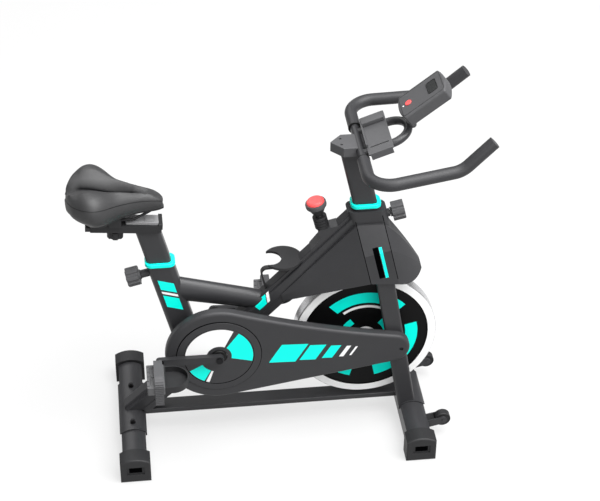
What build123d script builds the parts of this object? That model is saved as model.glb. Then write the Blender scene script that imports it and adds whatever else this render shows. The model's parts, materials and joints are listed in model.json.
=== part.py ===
from build123d import *
from math import atan2, cos, degrees, hypot, radians, sin, sqrt
import os

os.makedirs("parts", exist_ok=True)

# The origin lies on the floor under the middle of the bike.
# X points to the front wheel end, Y to the rider's left, Z up.

# Clearances
fit_gap = 0.2
slide_gap = 0.3
run_gap = 0.05

# Stabilisers and base rail
foot_spacing = 782
foot_mid_x = -9
foot_length = 474
foot_width = 66
foot_base = 12
foot_shoulder = 58
foot_top = 70
foot_wall = 2.5
cap_width = 82.5
cap_shoulder = 65
cap_top = 78
cap_length = 48
cap_wall = 4
cap_round = 5
recess_width = 48
recess_height = 26
recess_depth = 3
recess_z = 40
bolt_y = 77
front_bolt_y = 33
bolt_radius = 4
bolt_hole_radius = 4.3
bolt_head_radius = 9
bolt_head_height = 4
nut_radius = 6.8
nut_height = 6.5
washer_radius = 7.6
washer_height = 1.6
rail_width = 48
rail_height = 16
rail_top = 70
rail_wall = 2
rail_corner = 3
saddle_thick = 4
saddle_half = 105
front_saddle_half = 72
saddle_drop = 48

# Frame
beam_width = 50
beam_depth = 60
beam_cap_width = 36
beam_cap_depth = 10
beam_wall = 2.5
beam_corner = 3
beam_groove_depth = 1.2
beam_groove_width = 5
beam_groove_at = 38
kink_x = -60
kink_z = 415
stay_angle = 42.8
beam_angle = 46.37
stay_reach = 560
stay_trim = 20
beam_bite = 1.3
mitre_spare = 40
bracket_x = -158
bracket_z = 303
shell_radius = 23
shell_right = 58
shell_left = 62
tube_depth = 71
tube_width = 47
tube_corner = 14
tube_wall = 2.3
post_depth = 63
post_width = 39
post_corner = 11
post_wall = 2
seat_x = -301.5
seat_z = 558
seat_lean = 14
seat_tube_length = 336
head_x = 240.5
head_z = 706
head_lean = 13
head_tube_length = 150
main_tube_x = -258
main_tube_z = 477
main_tube_drop = 15.7
main_tube_depth = 56
main_tube_back_depth = 72
main_tube_width = 46
main_tube_wall = 2
main_tube_back = 25
main_tube_reach = 232

# Post collars
collar_depth = 80
collar_width = 56
collar_corner = 18
collar_height = 11
collar_round = 2
sleeve_length = 60
sleeve_pin_hole_radius = 8

# Fork
leg_x = 295
leg_z = 474
leg_lean = 10
leg_depth = 49
leg_thick = 22
leg_corner = 6
leg_y = 58
leg_up = 116
leg_down = 430
crown_low = 148
crown_height = 28
crown_back = 44
crown_front = 24
crown_wall = 14
axle_plate_thick = 14
axle_plate_radius = 26
axle_plate_half = 34

# Drive
wheel_x = 250
wheel_z = 280
wheel_radius = 198
rim_width = 40
rim_inner_radius = 172
rim_chamfer = 2.5
web_thick = 8
wheel_hub_radius = 30
wheel_hub_width = 36
wheel_axle_radius = 8
wheel_axle_left = 72
wheel_disc_radius = 171.4
wheel_disc_thick = 2
wheel_disc_y = 17
wheel_bearing_radius = 16
wheel_bearing_width = 12
belt_y = 81.6
belt_width = 11
belt_thick = 3
belt_gap = 0.4
pulley_width = 14
driven_radius = 17
drive_radius = 68
drive_web = 6
drive_rim = 9
drive_hub_radius = 22
drive_window_radius = 11
drive_window_circle = 41
drive_window_count = 5
flange_height = 3
flange_thick = 1.5
crank_axle_radius = 8.5
crank_bearing_radius = 18.5
crank_bearing_width = 12
crank_length = 160
crank_rise = 1.8
crank_inner_y = 100
crank_thick = 14
crank_hub_radius = 12.5
crank_tip_radius = 9.5
crank_boss_depth = 7
crank_bolt_radius = 9
crank_bolt_height = 4
spindle_radius = 6

# Pedals
pedal_inner_y = 133
pedal_outer_y = 228
pedal_back = 37
pedal_front = 9
pedal_half_height = 12
pedal_barrel_radius = 11.5
pedal_round = 3
window_length = 17
window_width = 34
tray_front = 74
tray_straight = 32
tray_floor = 3
tray_rim = 20
tray_wall = 3.5
tray_inset = 3
strap_width = 23
strap_thick = 3
strap_mid = -6
strap_rise = 36
strap_corner = 24
strap_inner_low = 9
strap_tail_low = -46

# Belt cover
cover_lobe_radius = 144
cover_nose_x = 318
cover_nose_z = 285
cover_nose_radius = 45
cover_face_y = 94
cover_wall = 2.8
cover_round = 9
cover_back_thick = 2.5
cover_hollow_radius = 2600
ring_inner_radius = 94
ring_outer_radius = 114
ring_rise = 2.5
disc_radius = 93.5
disc_thick = 2.2
disc_dish = 1.2
cover_hole_radius = 22
cover_shell_hole_radius = 40
cover_screw_x = 339
cover_screw_z = 283
cover_screw_radius = 3
cover_screw_head_radius = 5.5
cover_screw_head = 2.2
standoff_radius = 7
cover_boss_gap = 1.5
cover_cup_radius = 9
cover_cup_depth = 5
standoff_spots = ((-95, 352), (-215, 236))

# Head shroud, as height and half width at bottom, middle and top of each station
shroud_wall = 2.5
shroud_beam_gap = 0.4
shroud_stations = (
    (-277, (-226, 27.6), (-210, 27.6), (-204, 27)),
    (-36, (-205, 77), (-116, 72.5), (-38, 36)),
    (36, (-228, 77), (-116, 72.5), (-54.5, 36)),
    (72, (-243, 60), (-165, 46), (-124, 16)),
    (106, (-236, 20), (-226, 16), (-218, 8)),
)
neck_depth = 102
neck_width = 60
neck_corner = 20
neck_low = 85
neck_top = 8

# Bottle holder
holder_z = 546
holder_thick = 7
holder_outer_x = 24
holder_outer_radius = 52
holder_inner_x = -11
holder_inner_radius = 31
holder_strap_width = 14
holder_strap_thick = 5
holder_strap_low_x = -22
holder_strap_low_z = 452
holder_strap_bend_x = -37
holder_strap_bend_z = 518
holder_strap_end_x = 40
holder_strap_end_z = 521

# Brake
tension_along = 294.73
tension_rise = 21.25
tension_lean = 14
turret_half = 19
turret_back = 14
turret_front = 40
turret_depth = 70
turret_flare = 46
turret_flare_high = 28
turret_flare_low = 54
sleeve_radius = 19
sleeve_height = 34
sleeve_chamfer = 1
sleeve_groove = 1.4
sleeve_grooves = 3
rod_radius = 6
rod_top = 70
rod_reach = 166
pad_inner_radius = 203
pad_outer_radius = 215
shoe_outer_radius = 221
pad_half_width = 18
pad_half_angle = 8.5
knob_low = 40.5
knob_top = 76
knob_rim = 10
knob_radius = 25
knob_foot_radius = 12.5
knob_flutes = 12
knob_flute_radius = 2.5
cap_disc_radius = 24
cap_disc_height = 11
cap_disc_round = 8

# Height pins
seat_pin_drop = 21.2
head_pin_drop = 45.5
pin_radius = 6
pin_tip_gap = 0.5
pin_boss_radius = 11
pin_boss_length = 22
pin_knob_radius = 26
pin_knob_length = 38
pin_knob_gap = 1
pin_knob_neck_radius = 13
pin_knob_neck = 5
pin_flutes = 8
pin_flute_radius = 5.5
post_hole_radius = 6.5
post_hole_pitch = 25
post_hole_count = 5
head_hole_count = 3

# Seat slide and saddle
seat_post_length = 180
slide_x = -327
slide_z = 666
slide_tilt = -5.2
slide_back = 163
slide_front = 33
slide_height = 16
slide_flange = 7
slide_half = 22
slide_stem_half = 15
slide_lock_u = -85
slide_travel_back = 42
slide_travel_front = 24
lock_radius = 4
carriage_back = 150
carriage_front = 25
carriage_top = 27
carriage_half = 26
carriage_lip = 4
carriage_cap = 10
cover_strip_back = 60
cover_strip_half = 19
cover_strip_height = 6
cover_clip_length = 24
cover_clip_height = 3
lock_knob_radius = 21.5
lock_knob_height = 20
lock_knob_gap = 1.2
lock_flutes = 6
lock_flute_radius = 6
clamp_x = -412
clamp_length = 34
clamp_half = 32
clamp_top = 724
clamp_depth = 26
saddle_shell_thick = 6
saddle_shell_inset = 4
saddle_wire_radius = 3.5
wire_z = 716
wire_half = 22
wire_front_x = -318
wire_front_half = 8
wire_bend_front_x = -362
wire_bend_rear_x = -450
wire_rear_x = -480
wire_rear_half = 46
wire_radius = 14
# Each station holds x, ridge height, ridge half, trough height, widest half, widest height, base half
saddle_stations = (
    (-537, 797, 18, 796, 34, 788, 14),
    (-521, 813, 40, 806, 74, 790, 44),
    (-492, 822, 48, 808, 101, 785, 62),
    (-462, 824, 48, 806, 108, 784, 86),
    (-436, 815, 40, 800, 96, 778, 78),
    (-405, 806, 27, 793, 66, 772, 54),
    (-370, 799, 17, 788, 43, 768, 35),
    (-330, 790, 12, 783, 30, 764, 24),
    (-297, 777, 10, 775, 22, 760, 17),
    (-284, 760, 6, 759.5, 12, 752, 9),
)
saddle_base = 740

# Handlebar
head_post_length = 140
stem_low = 875
stem_top = 901
stem_apex_x = 144
stem_shoulder_x = 175
stem_half = 34
stem_front_x = 241
stem_round = 3
stem_plug = 20
stem_screw_radius = 3.5
stem_screw_x = 172
stem_screw_y = 14
bar_x = 219
bar_z = 891
bar_radius = 12.5
bar_wall = 2
bar_corner_y = 212
bar_front_x = 448
bar_front_y = 186
bar_front_z = 913
bar_tip_x = 526
bar_tip_y = 177
bar_tip_z = 986
bar_bend = 60
grip_radius = 16.5
grip_start_y = 79
grip_end_wall = 6
loop_tilt = 20
loop_radius = 11
loop_wall = 1.8
loop_half = 50
loop_leg = 82
cradle_start = 18
cradle_end = 84
cradle_half = 53
cradle_thick = 4
cradle_slot = 56
cradle_slot_width = 5
cradle_wing = 88
cradle_skirt = 18
cradle_lip = 9

# Console
console_x = 372
console_z = 1029
console_tilt = 38
console_length = 142
console_width = 102
console_depth = 34
console_bulge = 10
console_round = 5
console_wall = 2.5
lens_length = 26
lens_width = 46
lens_depth = 2
lens_offset = 33
button_radius = 9
button_rise = 2
button_offset = -39.5
button_well = 12
console_neck_radius = 14
neck_x = 351
neck_base_z = 938
neck_rise = 46

# Transport wheels
roller_x = 458
roller_y = 128
roller_z = 56
roller_radius = 22
roller_width = 22
roller_pin_radius = 4
roller_hub_radius = 9
roller_step = 2
cheek_thick = 4
cheek_radius = 11

rear_foot_x = foot_mid_x - foot_spacing / 2
front_foot_x = foot_mid_x + foot_spacing / 2
tube_half_length = foot_length / 2 - cap_wall - fit_gap
saddle_gap_half = foot_width / 2 + fit_gap
leg_outer_y = leg_y + leg_thick / 2
cover_back_y = leg_outer_y + slide_gap
bolt_spots = ((rear_foot_x, -bolt_y), (rear_foot_x, bolt_y), (front_foot_x, -front_bolt_y), (front_foot_x, front_bolt_y))
beam_run = (head_x - kink_x) * cos(radians(head_lean)) + (head_z - kink_z) * sin(radians(head_lean))
beam_reach = (beam_run - tube_depth / 2 + beam_bite) / cos(radians(beam_angle - head_lean))


def lean_plane(x, z, lean):
    """Plane across Y whose normal leans rearward by the given degrees."""
    angle = radians(lean)
    return Plane(origin=(x, 0, z), x_dir=(cos(angle), 0, sin(angle)), z_dir=(-sin(angle), 0, cos(angle)))


def side_plane(x, y, z):
    """Plane facing the rider's right, with its local axes along X and Z."""
    return Plane(origin=(x, y, z), x_dir=(1, 0, 0), z_dir=(0, -1, 0))


def save(piece, name):
    """Label a finished piece and write it out."""
    piece.part.label = name
    export_step(piece.part, f"parts/{name}.step")


stay_plane = lean_plane(kink_x, kink_z, stay_angle - 90)
beam_plane = lean_plane(kink_x, kink_z, beam_angle - 90)
mitre_plane = lean_plane(kink_x, kink_z, (stay_angle + beam_angle) / 2 - 90)
seat_plane = lean_plane(seat_x, seat_z, seat_lean)
head_plane = lean_plane(head_x, head_z, head_lean)
main_tube_plane = lean_plane(main_tube_x, main_tube_z, -90 - main_tube_drop)
leg_plane = lean_plane(leg_x, leg_z, leg_lean)
tension_spot = beam_plane.from_local_coords((-tension_rise, 0, tension_along))
tension_plane = lean_plane(tension_spot.X, tension_spot.Z, tension_lean)
slide_plane = lean_plane(slide_x, slide_z, slide_tilt)
loop_plane = lean_plane(bar_x, bar_z, loop_tilt)
console_plane = lean_plane(console_x, console_z, console_tilt)
bracket_plane = side_plane(bracket_x, 0, bracket_z)
wheel_plane = side_plane(wheel_x, 0, wheel_z)


def pin_plane(post_plane, drop, sign):
    """Plane on a post axis at pin height, facing out along the pin."""
    out = post_plane.x_dir * sign
    return Plane(origin=post_plane.from_local_coords((0, 0, -drop)), x_dir=(0, 1, 0), z_dir=out)


seat_pin_plane = pin_plane(seat_plane, seat_pin_drop, -1)
head_pin_plane = pin_plane(head_plane, head_pin_drop, 1)


def arched_section(x, grow=0.0, base=foot_base):
    """Stabiliser outline in X and Z: flat base, upright sides and an arched top."""
    half = foot_width / 2 + grow
    with BuildSketch() as section:
        with BuildLine():
            Polyline((x - half, foot_shoulder), (x - half, base - grow), (x + half, base - grow),
                     (x + half, foot_shoulder))
            ThreePointArc((x + half, foot_shoulder), (x, foot_top + grow), (x - half, foot_shoulder))
        make_face()
    return section.sketch


def beam_section(grow=0.0):
    """Beam outline from its top edge downward, with a narrower cap on top."""
    half = beam_width / 2 + grow
    cap_half = beam_cap_width / 2 + grow
    with BuildSketch() as section:
        with BuildLine():
            Polyline((-grow, -cap_half), (beam_cap_depth - grow, -cap_half), (beam_cap_depth - grow, -half),
                     (beam_depth + grow, -half), (beam_depth + grow, half), (beam_cap_depth - grow, half),
                     (beam_cap_depth - grow, cap_half), (-grow, cap_half), close=True)
        make_face()
        fillet(section.vertices(), beam_corner)
    return section.sketch


def grooved_tube_section():
    """Hollow beam outline with a shallow groove along each side."""
    with BuildSketch() as section:
        add(beam_section())
        add(beam_section(-beam_wall), mode=Mode.SUBTRACT)
        with Locations((beam_groove_at, beam_width / 2), (beam_groove_at, -beam_width / 2)):
            Rectangle(beam_groove_width, 2 * beam_groove_depth, mode=Mode.SUBTRACT)
    return section.sketch


def tube_section(grow=0.0):
    """Outline shared by seat tube and head tube."""
    with BuildSketch() as section:
        RectangleRounded(tube_depth + 2 * grow, tube_width + 2 * grow, tube_corner + grow)
    return section.sketch


def post_section(grow=0.0):
    """Outline shared by seat post and handlebar post."""
    with BuildSketch() as section:
        RectangleRounded(post_depth + 2 * grow, post_width + 2 * grow, post_corner + grow)
    return section.sketch


for name, foot_x in (("rear_stabiliser", rear_foot_x), ("front_stabiliser", front_foot_x)):
    with BuildPart() as stabiliser:
        with BuildSketch(Plane.XZ):
            add(arched_section(foot_x))
            add(arched_section(foot_x, -foot_wall), mode=Mode.SUBTRACT)
        extrude(amount=tube_half_length, both=True)
        if foot_x > 0:
            cheek_y = roller_width / 2 + slide_gap + cheek_thick / 2
            for side in (-1, 1):
                for offset_y in (-cheek_y, cheek_y):
                    cheek_centre = side * roller_y + offset_y
                    with BuildSketch(side_plane(0, cheek_centre, 0)):
                        with Locations((roller_x, roller_z)):
                            Circle(cheek_radius)
                        with BuildLine():
                            Polyline((front_foot_x + foot_width / 2 - foot_wall / 2, roller_z - 2 * cheek_radius),
                                     (roller_x, roller_z - cheek_radius), (roller_x, roller_z + cheek_radius),
                                     (front_foot_x + foot_width / 2 - foot_wall / 2, foot_shoulder), close=True)
                        make_face()
                    extrude(amount=cheek_thick / 2, both=True)
                with BuildSketch(side_plane(roller_x, side * roller_y, roller_z)):
                    Circle(roller_pin_radius)
                extrude(amount=cheek_y + cheek_thick, both=True)
        with Locations([(x, y, 0) for x, y in bolt_spots if x == foot_x]):
            Cylinder(bolt_hole_radius, 2 * foot_top + 2 * foot_base, mode=Mode.SUBTRACT)
    save(stabiliser, name)

with BuildPart() as end_caps:
    for foot_x in (rear_foot_x, front_foot_x):
        with BuildSketch(Plane.XZ.offset(foot_length / 2 - cap_length)):
            with BuildLine():
                Polyline((foot_x - cap_width / 2, cap_shoulder), (foot_x - cap_width / 2, 0),
                         (foot_x + cap_width / 2, 0), (foot_x + cap_width / 2, cap_shoulder))
                ThreePointArc((foot_x + cap_width / 2, cap_shoulder), (foot_x, cap_top),
                              (foot_x - cap_width / 2, cap_shoulder))
            make_face()
        extrude(amount=cap_length)
    fillet(end_caps.edges().group_by(Axis.Y)[0], cap_round)
    for foot_x in (rear_foot_x, front_foot_x):
        with BuildSketch(Plane.XZ.offset(foot_length / 2 - cap_length)):
            add(arched_section(foot_x, fit_gap))
        extrude(amount=cap_length - cap_wall, mode=Mode.SUBTRACT)
        with BuildSketch(Plane.XZ.offset(foot_length / 2)):
            with Locations((foot_x, recess_z)):
                Rectangle(recess_width, recess_height)
        extrude(amount=-recess_depth, mode=Mode.SUBTRACT)
    mirror(about=Plane.XZ)
save(end_caps, "end_caps")

with BuildPart() as base_rail:
    for foot_x, inward, half in ((rear_foot_x, 1, saddle_half), (front_foot_x, -1, front_saddle_half)):
        outer_x = foot_x - inward * foot_width
        with BuildSketch(Plane.XZ):
            add(arched_section(foot_x, fit_gap + saddle_thick))
            add(arched_section(foot_x, fit_gap, -foot_top), mode=Mode.SUBTRACT)
            with Locations((foot_x, saddle_drop - foot_top / 2)):
                Rectangle(2 * foot_width, foot_top, mode=Mode.SUBTRACT)
            with Locations((outer_x, foot_shoulder - foot_top / 2)):
                Rectangle(2 * foot_width, foot_top, mode=Mode.SUBTRACT)
        extrude(amount=half, both=True)
    with BuildSketch(Plane.YZ.offset(rear_foot_x + saddle_gap_half)):
        with Locations((0, rail_top - rail_height / 2)):
            RectangleRounded(rail_width, rail_height, rail_corner)
            RectangleRounded(rail_width - 2 * rail_wall, rail_height - 2 * rail_wall, rail_corner - rail_wall / 2,
                             mode=Mode.SUBTRACT)
    extrude(amount=foot_spacing - 2 * saddle_gap_half)
    with Locations([(x, y, foot_top) for x, y in bolt_spots]):
        Cylinder(bolt_hole_radius, 2 * foot_base, mode=Mode.SUBTRACT)
save(base_rail, "base_rail")

with BuildPart() as rear_stay:
    with BuildSketch(stay_plane.offset(-stay_reach)):
        add(grooved_tube_section())
    extrude(amount=stay_reach + mitre_spare)
    split(bisect_by=mitre_plane, keep=Keep.BOTTOM)
    with BuildSketch(Plane.XZ):
        add(arched_section(rear_foot_x, saddle_thick + 2 * fit_gap, -foot_spacing))
        with Locations((rear_foot_x - stay_trim - foot_spacing / 2, 0)):
            Rectangle(foot_spacing, foot_spacing)
        with Locations((rear_foot_x + foot_spacing / 2, rail_top + fit_gap - foot_spacing / 2)):
            Rectangle(foot_spacing, foot_spacing)
    extrude(amount=beam_width, both=True, mode=Mode.SUBTRACT)
    with BuildSketch(bracket_plane.offset(-shell_left)):
        Circle(shell_radius)
    extrude(amount=shell_left + shell_right)
    with BuildSketch(bracket_plane.offset(-shell_left)):
        Circle(crank_bearing_radius)
    extrude(amount=shell_left + shell_right, mode=Mode.SUBTRACT)
save(rear_stay, "rear_stay")

with BuildPart() as main_beam:
    with BuildSketch(beam_plane.offset(-mitre_spare)):
        add(grooved_tube_section())
    extrude(amount=mitre_spare + beam_reach)
    split(bisect_by=mitre_plane, keep=Keep.TOP)
    with BuildSketch(Plane.XZ):
        with BuildLine():
            Polyline(*[(point.X, point.Z) for point in [
                tension_plane.from_local_coords(corner) for corner in (
                    (-turret_back, 0, 0), (turret_front, 0, 0), (turret_front, 0, -turret_depth / 4),
                    (turret_back, 0, -turret_depth), (-turret_flare, 0, -turret_depth), (-turret_flare, 0, -turret_flare_low),
                    (-turret_back, 0, -turret_flare_high))]], close=True)
        make_face()
    extrude(amount=turret_half, both=True)
    with BuildSketch(tension_plane.offset(-3 * turret_depth)):
        Circle(rod_radius + slide_gap)
    extrude(amount=4 * turret_depth, mode=Mode.SUBTRACT)
    with BuildSketch(head_plane):
        add(tube_section(fit_gap))
    extrude(amount=-2 * head_tube_length, mode=Mode.SUBTRACT)
save(main_beam, "main_beam")

with BuildPart() as main_tube:
    for inset, mode in ((0, Mode.ADD), (main_tube_wall, Mode.SUBTRACT)):
        for along, depth in ((-main_tube_back, main_tube_back_depth), (main_tube_reach, main_tube_depth)):
            with BuildSketch(main_tube_plane.offset(along)):
                with Locations(((depth - main_tube_depth) / 2, 0)):
                    Ellipse(depth / 2 - inset, main_tube_width / 2 - inset)
        loft(mode=mode)
    with BuildSketch(seat_plane):
        add(tube_section(fit_gap))
    extrude(amount=-seat_tube_length, mode=Mode.SUBTRACT)
    with BuildSketch(stay_plane.offset(-stay_reach)):
        add(beam_section(fit_gap))
    extrude(amount=stay_reach + mitre_spare, mode=Mode.SUBTRACT)
    with BuildSketch(beam_plane.offset(-mitre_spare)):
        add(beam_section(fit_gap))
    extrude(amount=beam_reach, mode=Mode.SUBTRACT)
save(main_tube, "main_tube")

with BuildPart() as seat_tube:
    with BuildSketch(seat_plane.offset(-seat_tube_length)):
        add(tube_section())
        add(tube_section(-tube_wall), mode=Mode.SUBTRACT)
    extrude(amount=seat_tube_length + tube_depth)
    split(bisect_by=Plane.XY.offset(seat_z), keep=Keep.BOTTOM)
    with BuildSketch(seat_pin_plane.offset(tube_depth / 2 - tube_wall)):
        Circle(pin_boss_radius)
    extrude(amount=tube_wall + pin_boss_length)
    with BuildSketch(seat_pin_plane):
        Circle(pin_radius + run_gap)
    extrude(amount=tube_depth, mode=Mode.SUBTRACT)
    with BuildSketch(stay_plane.offset(-stay_reach)):
        with Locations((stay_reach / 2 - fit_gap, 0)):
            Rectangle(stay_reach, 2 * beam_width)
    extrude(amount=stay_reach + mitre_spare, mode=Mode.SUBTRACT)
save(seat_tube, "seat_tube")

with BuildPart() as head_tube:
    with BuildSketch(head_plane.offset(-head_tube_length)):
        add(tube_section())
        add(tube_section(-tube_wall), mode=Mode.SUBTRACT)
    extrude(amount=head_tube_length + tube_depth)
    split(bisect_by=Plane.XY.offset(head_z), keep=Keep.BOTTOM)
    with BuildSketch(head_pin_plane.offset(tube_depth / 2 - tube_wall)):
        Circle(pin_boss_radius)
    extrude(amount=tube_wall + pin_boss_length)
    with BuildSketch(head_pin_plane):
        Circle(pin_radius + run_gap)
    extrude(amount=tube_depth, mode=Mode.SUBTRACT)
save(head_tube, "head_tube")

def collar_flange(post_plane):
    """Level ring that lies on top of a leaning tube."""
    with BuildPart() as flange:
        with BuildSketch(Plane.XY.offset(post_plane.origin.Z + fit_gap)):
            with Locations((post_plane.origin.X, 0)):
                RectangleRounded(collar_depth, collar_width, collar_corner)
        extrude(amount=collar_height)
        fillet(flange.faces().filter_by(Axis.Z).edges(), collar_round)
    return flange.part


with BuildPart() as post_collars:
    for post_plane, post_pin_plane in ((seat_plane, seat_pin_plane), (head_plane, head_pin_plane)):
        with BuildSketch(post_plane.offset(-sleeve_length)):
            add(tube_section(-tube_wall - fit_gap))
        extrude(amount=sleeve_length + collar_height)
        with BuildSketch(Plane.XY.offset(post_plane.origin.Z + fit_gap + collar_round)):
            with Locations((post_plane.origin.X, 0)):
                Rectangle(2 * collar_depth, 2 * collar_width)
        extrude(amount=2 * collar_depth, mode=Mode.SUBTRACT)
        add(collar_flange(post_plane))
        with BuildSketch(post_plane.offset(-2 * sleeve_length)):
            add(post_section(slide_gap))
        extrude(amount=2 * sleeve_length + 4 * collar_height, mode=Mode.SUBTRACT)
        with BuildSketch(post_pin_plane):
            Circle(sleeve_pin_hole_radius)
        extrude(amount=tube_depth, mode=Mode.SUBTRACT)
save(post_collars, "post_collars")

with BuildPart() as fork:
    with BuildSketch(leg_plane.offset(-leg_down)):
        with Locations((0, leg_y), (0, -leg_y)):
            RectangleRounded(leg_depth, leg_thick, leg_corner)
    extrude(amount=leg_down + leg_up)
    with BuildSketch(head_plane.offset(-crown_low)):
        with Locations(((crown_front - crown_back) / 2, 0)):
            Rectangle(crown_front + crown_back, 2 * leg_y)
        with Locations(((crown_front + crown_wall - crown_back) / 2, 0)):
            Rectangle(crown_front + crown_back - crown_wall, 2 * leg_outer_y)
    extrude(amount=crown_height)
    leg_axle = leg_plane.to_local_coords(Vector(wheel_x, 0, wheel_z))
    for side in (-1, 1):
        with BuildSketch(side_plane(0, side * leg_y, 0)) as axle_plate:
            with Locations((wheel_x, wheel_z)):
                Circle(axle_plate_radius)
            with BuildLine():
                Polyline(*[(point.X, point.Z) for point in [
                    leg_plane.from_local_coords((0, 0, leg_axle.Z + reach)) for reach in
                    (-axle_plate_half, axle_plate_half)]],
                    (wheel_x, wheel_z + axle_plate_radius), (wheel_x, wheel_z - axle_plate_radius), close=True)
            make_face()
        extrude(amount=axle_plate_thick / 2, both=True)
    with BuildSketch(wheel_plane):
        Circle(wheel_bearing_radius)
    extrude(amount=2 * leg_y, both=True, mode=Mode.SUBTRACT)
    with BuildSketch(head_plane):
        add(tube_section(fit_gap))
    extrude(amount=-2 * head_tube_length, mode=Mode.SUBTRACT)
    with BuildSketch(Plane.XZ):
        add(arched_section(front_foot_x, saddle_thick + 2 * fit_gap, -foot_spacing))
        with Locations((front_foot_x, -foot_width)):
            Rectangle(2 * foot_width, 2 * (foot_width + foot_shoulder))
    extrude(amount=2 * leg_y, both=True, mode=Mode.SUBTRACT)
save(fork, "fork")

with BuildPart() as drive_bearings:
    for inner_y in (-shell_left, shell_right - crank_bearing_width):
        with BuildSketch(bracket_plane.offset(inner_y)):
            Circle(crank_bearing_radius - run_gap / 2)
            Circle(crank_axle_radius + run_gap, mode=Mode.SUBTRACT)
        extrude(amount=crank_bearing_width)
    for side in (-1, 1):
        with BuildSketch(wheel_plane.offset(side * leg_y)):
            Circle(wheel_bearing_radius - run_gap / 2)
            Circle(wheel_axle_radius + run_gap, mode=Mode.SUBTRACT)
        extrude(amount=wheel_bearing_width / 2, both=True)
save(drive_bearings, "drive_bearings")

wheel_turn_plane = Plane(origin=(wheel_x, 0, wheel_z), x_dir=(1, 0, 0), z_dir=(0, 0, 1))
wheel_axis = Axis((wheel_x, 0, wheel_z), (0, 1, 0))
bracket_turn_plane = Plane(origin=(bracket_x, 0, bracket_z), x_dir=(1, 0, 0), z_dir=(0, 0, 1))
bracket_axis = Axis((bracket_x, 0, bracket_z), (0, 1, 0))

with BuildPart() as flywheel:
    with BuildSketch(wheel_turn_plane):
        with BuildLine():
            wheel_bore = wheel_axle_radius + run_gap / 2
            half_profile = ((wheel_bore, wheel_hub_width / 2), (wheel_hub_radius, wheel_hub_width / 2),
                            (wheel_hub_radius + rim_chamfer, web_thick / 2),
                            (rim_inner_radius - rim_chamfer, web_thick / 2), (rim_inner_radius, rim_width / 2),
                            (wheel_radius - rim_chamfer, rim_width / 2),
                            (wheel_radius, rim_width / 2 - rim_chamfer))
            Polyline(*half_profile, *[(r, -y) for r, y in reversed(half_profile)], close=True)
        make_face()
    revolve(axis=wheel_axis)
save(flywheel, "flywheel")

with BuildPart() as flywheel_discs:
    for side in (-1, 1):
        with BuildSketch(wheel_plane.offset(side * (wheel_disc_y + wheel_disc_thick / 2))):
            Circle(wheel_disc_radius)
            Circle(wheel_hub_radius + slide_gap, mode=Mode.SUBTRACT)
        extrude(amount=wheel_disc_thick / 2, both=True)
save(flywheel_discs, "flywheel_discs")

with BuildPart() as flywheel_axle:
    with BuildSketch(wheel_plane.offset(-wheel_axle_left)):
        Circle(wheel_axle_radius)
    extrude(amount=wheel_axle_left + belt_y + pulley_width / 2 + fit_gap)
save(flywheel_axle, "flywheel_axle")

with BuildPart() as driven_pulley:
    with BuildSketch(wheel_turn_plane):
        with BuildLine():
            inner_y = -belt_y + pulley_width / 2
            outer_y = -belt_y - pulley_width / 2
            rim_r = driven_radius + flange_height
            Polyline((wheel_axle_radius + run_gap / 2, inner_y), (rim_r, inner_y), (rim_r, inner_y - flange_thick),
                     (driven_radius, inner_y - flange_thick), (driven_radius, outer_y + flange_thick),
                     (rim_r, outer_y + flange_thick), (rim_r, outer_y), (wheel_axle_radius + run_gap / 2, outer_y),
                     close=True)
        make_face()
    revolve(axis=wheel_axis)
save(driven_pulley, "driven_pulley")

with BuildPart() as crank_axle:
    axle_half = crank_inner_y + crank_thick
    with BuildSketch(bracket_plane):
        Circle(crank_axle_radius)
    extrude(amount=axle_half, both=True)
    for side in (-1, 1):
        with BuildSketch(bracket_plane.offset(side * (axle_half + fit_gap))):
            Circle(crank_bolt_radius)
        extrude(amount=side * crank_bolt_height)
save(crank_axle, "crank_axle")

with BuildPart() as drive_pulley:
    with BuildSketch(bracket_turn_plane):
        with BuildLine():
            bore = crank_axle_radius + run_gap / 2
            half_profile = ((bore, pulley_width / 2), (drive_hub_radius, pulley_width / 2),
                            (drive_hub_radius, drive_web / 2), (drive_radius - drive_rim, drive_web / 2),
                            (drive_radius - drive_rim, pulley_width / 2), (drive_radius, pulley_width / 2))
            Polyline(*[(r, y - belt_y) for r, y in half_profile],
                     *[(r, -y - belt_y) for r, y in reversed(half_profile)], close=True)
        make_face()
    revolve(axis=bracket_axis)
    with BuildSketch(bracket_plane.offset(belt_y)):
        with PolarLocations(drive_window_circle, drive_window_count):
            Circle(drive_window_radius)
    extrude(amount=pulley_width, both=True, mode=Mode.SUBTRACT)
save(drive_pulley, "drive_pulley")

with BuildPart() as drive_belt:
    with BuildSketch(side_plane(0, -belt_y, 0)) as belt_loop:
        for lift, mode in ((belt_gap + belt_thick, Mode.ADD), (belt_gap, Mode.SUBTRACT)):
            big = drive_radius + lift
            small = driven_radius + lift
            span_x = wheel_x - bracket_x
            span_z = wheel_z - bracket_z
            span = hypot(span_x, span_z)
            span_turn = atan2(span_z, span_x)
            open_turn = atan2(sqrt(span ** 2 - (big - small) ** 2), big - small)
            corners = [(cx + r * cos(turn), cz + r * sin(turn)) for cx, cz, r, turn in (
                (bracket_x, bracket_z, big, span_turn + open_turn),
                (wheel_x, wheel_z, small, span_turn + open_turn),
                (wheel_x, wheel_z, small, span_turn - open_turn),
                (bracket_x, bracket_z, big, span_turn - open_turn))]
            with Locations((bracket_x, bracket_z)):
                Circle(big, mode=mode)
            with Locations((wheel_x, wheel_z)):
                Circle(small, mode=mode)
            with BuildLine():
                Polyline(*corners, close=True)
            make_face(mode=mode)
    extrude(amount=belt_width / 2, both=True)
save(drive_belt, "drive_belt")

crank_turn = radians(180 - crank_rise)
crank_tips = {side: (bracket_x - side * crank_length * cos(crank_turn), bracket_z - side * crank_length * sin(crank_turn))
              for side in (-1, 1)}

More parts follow.
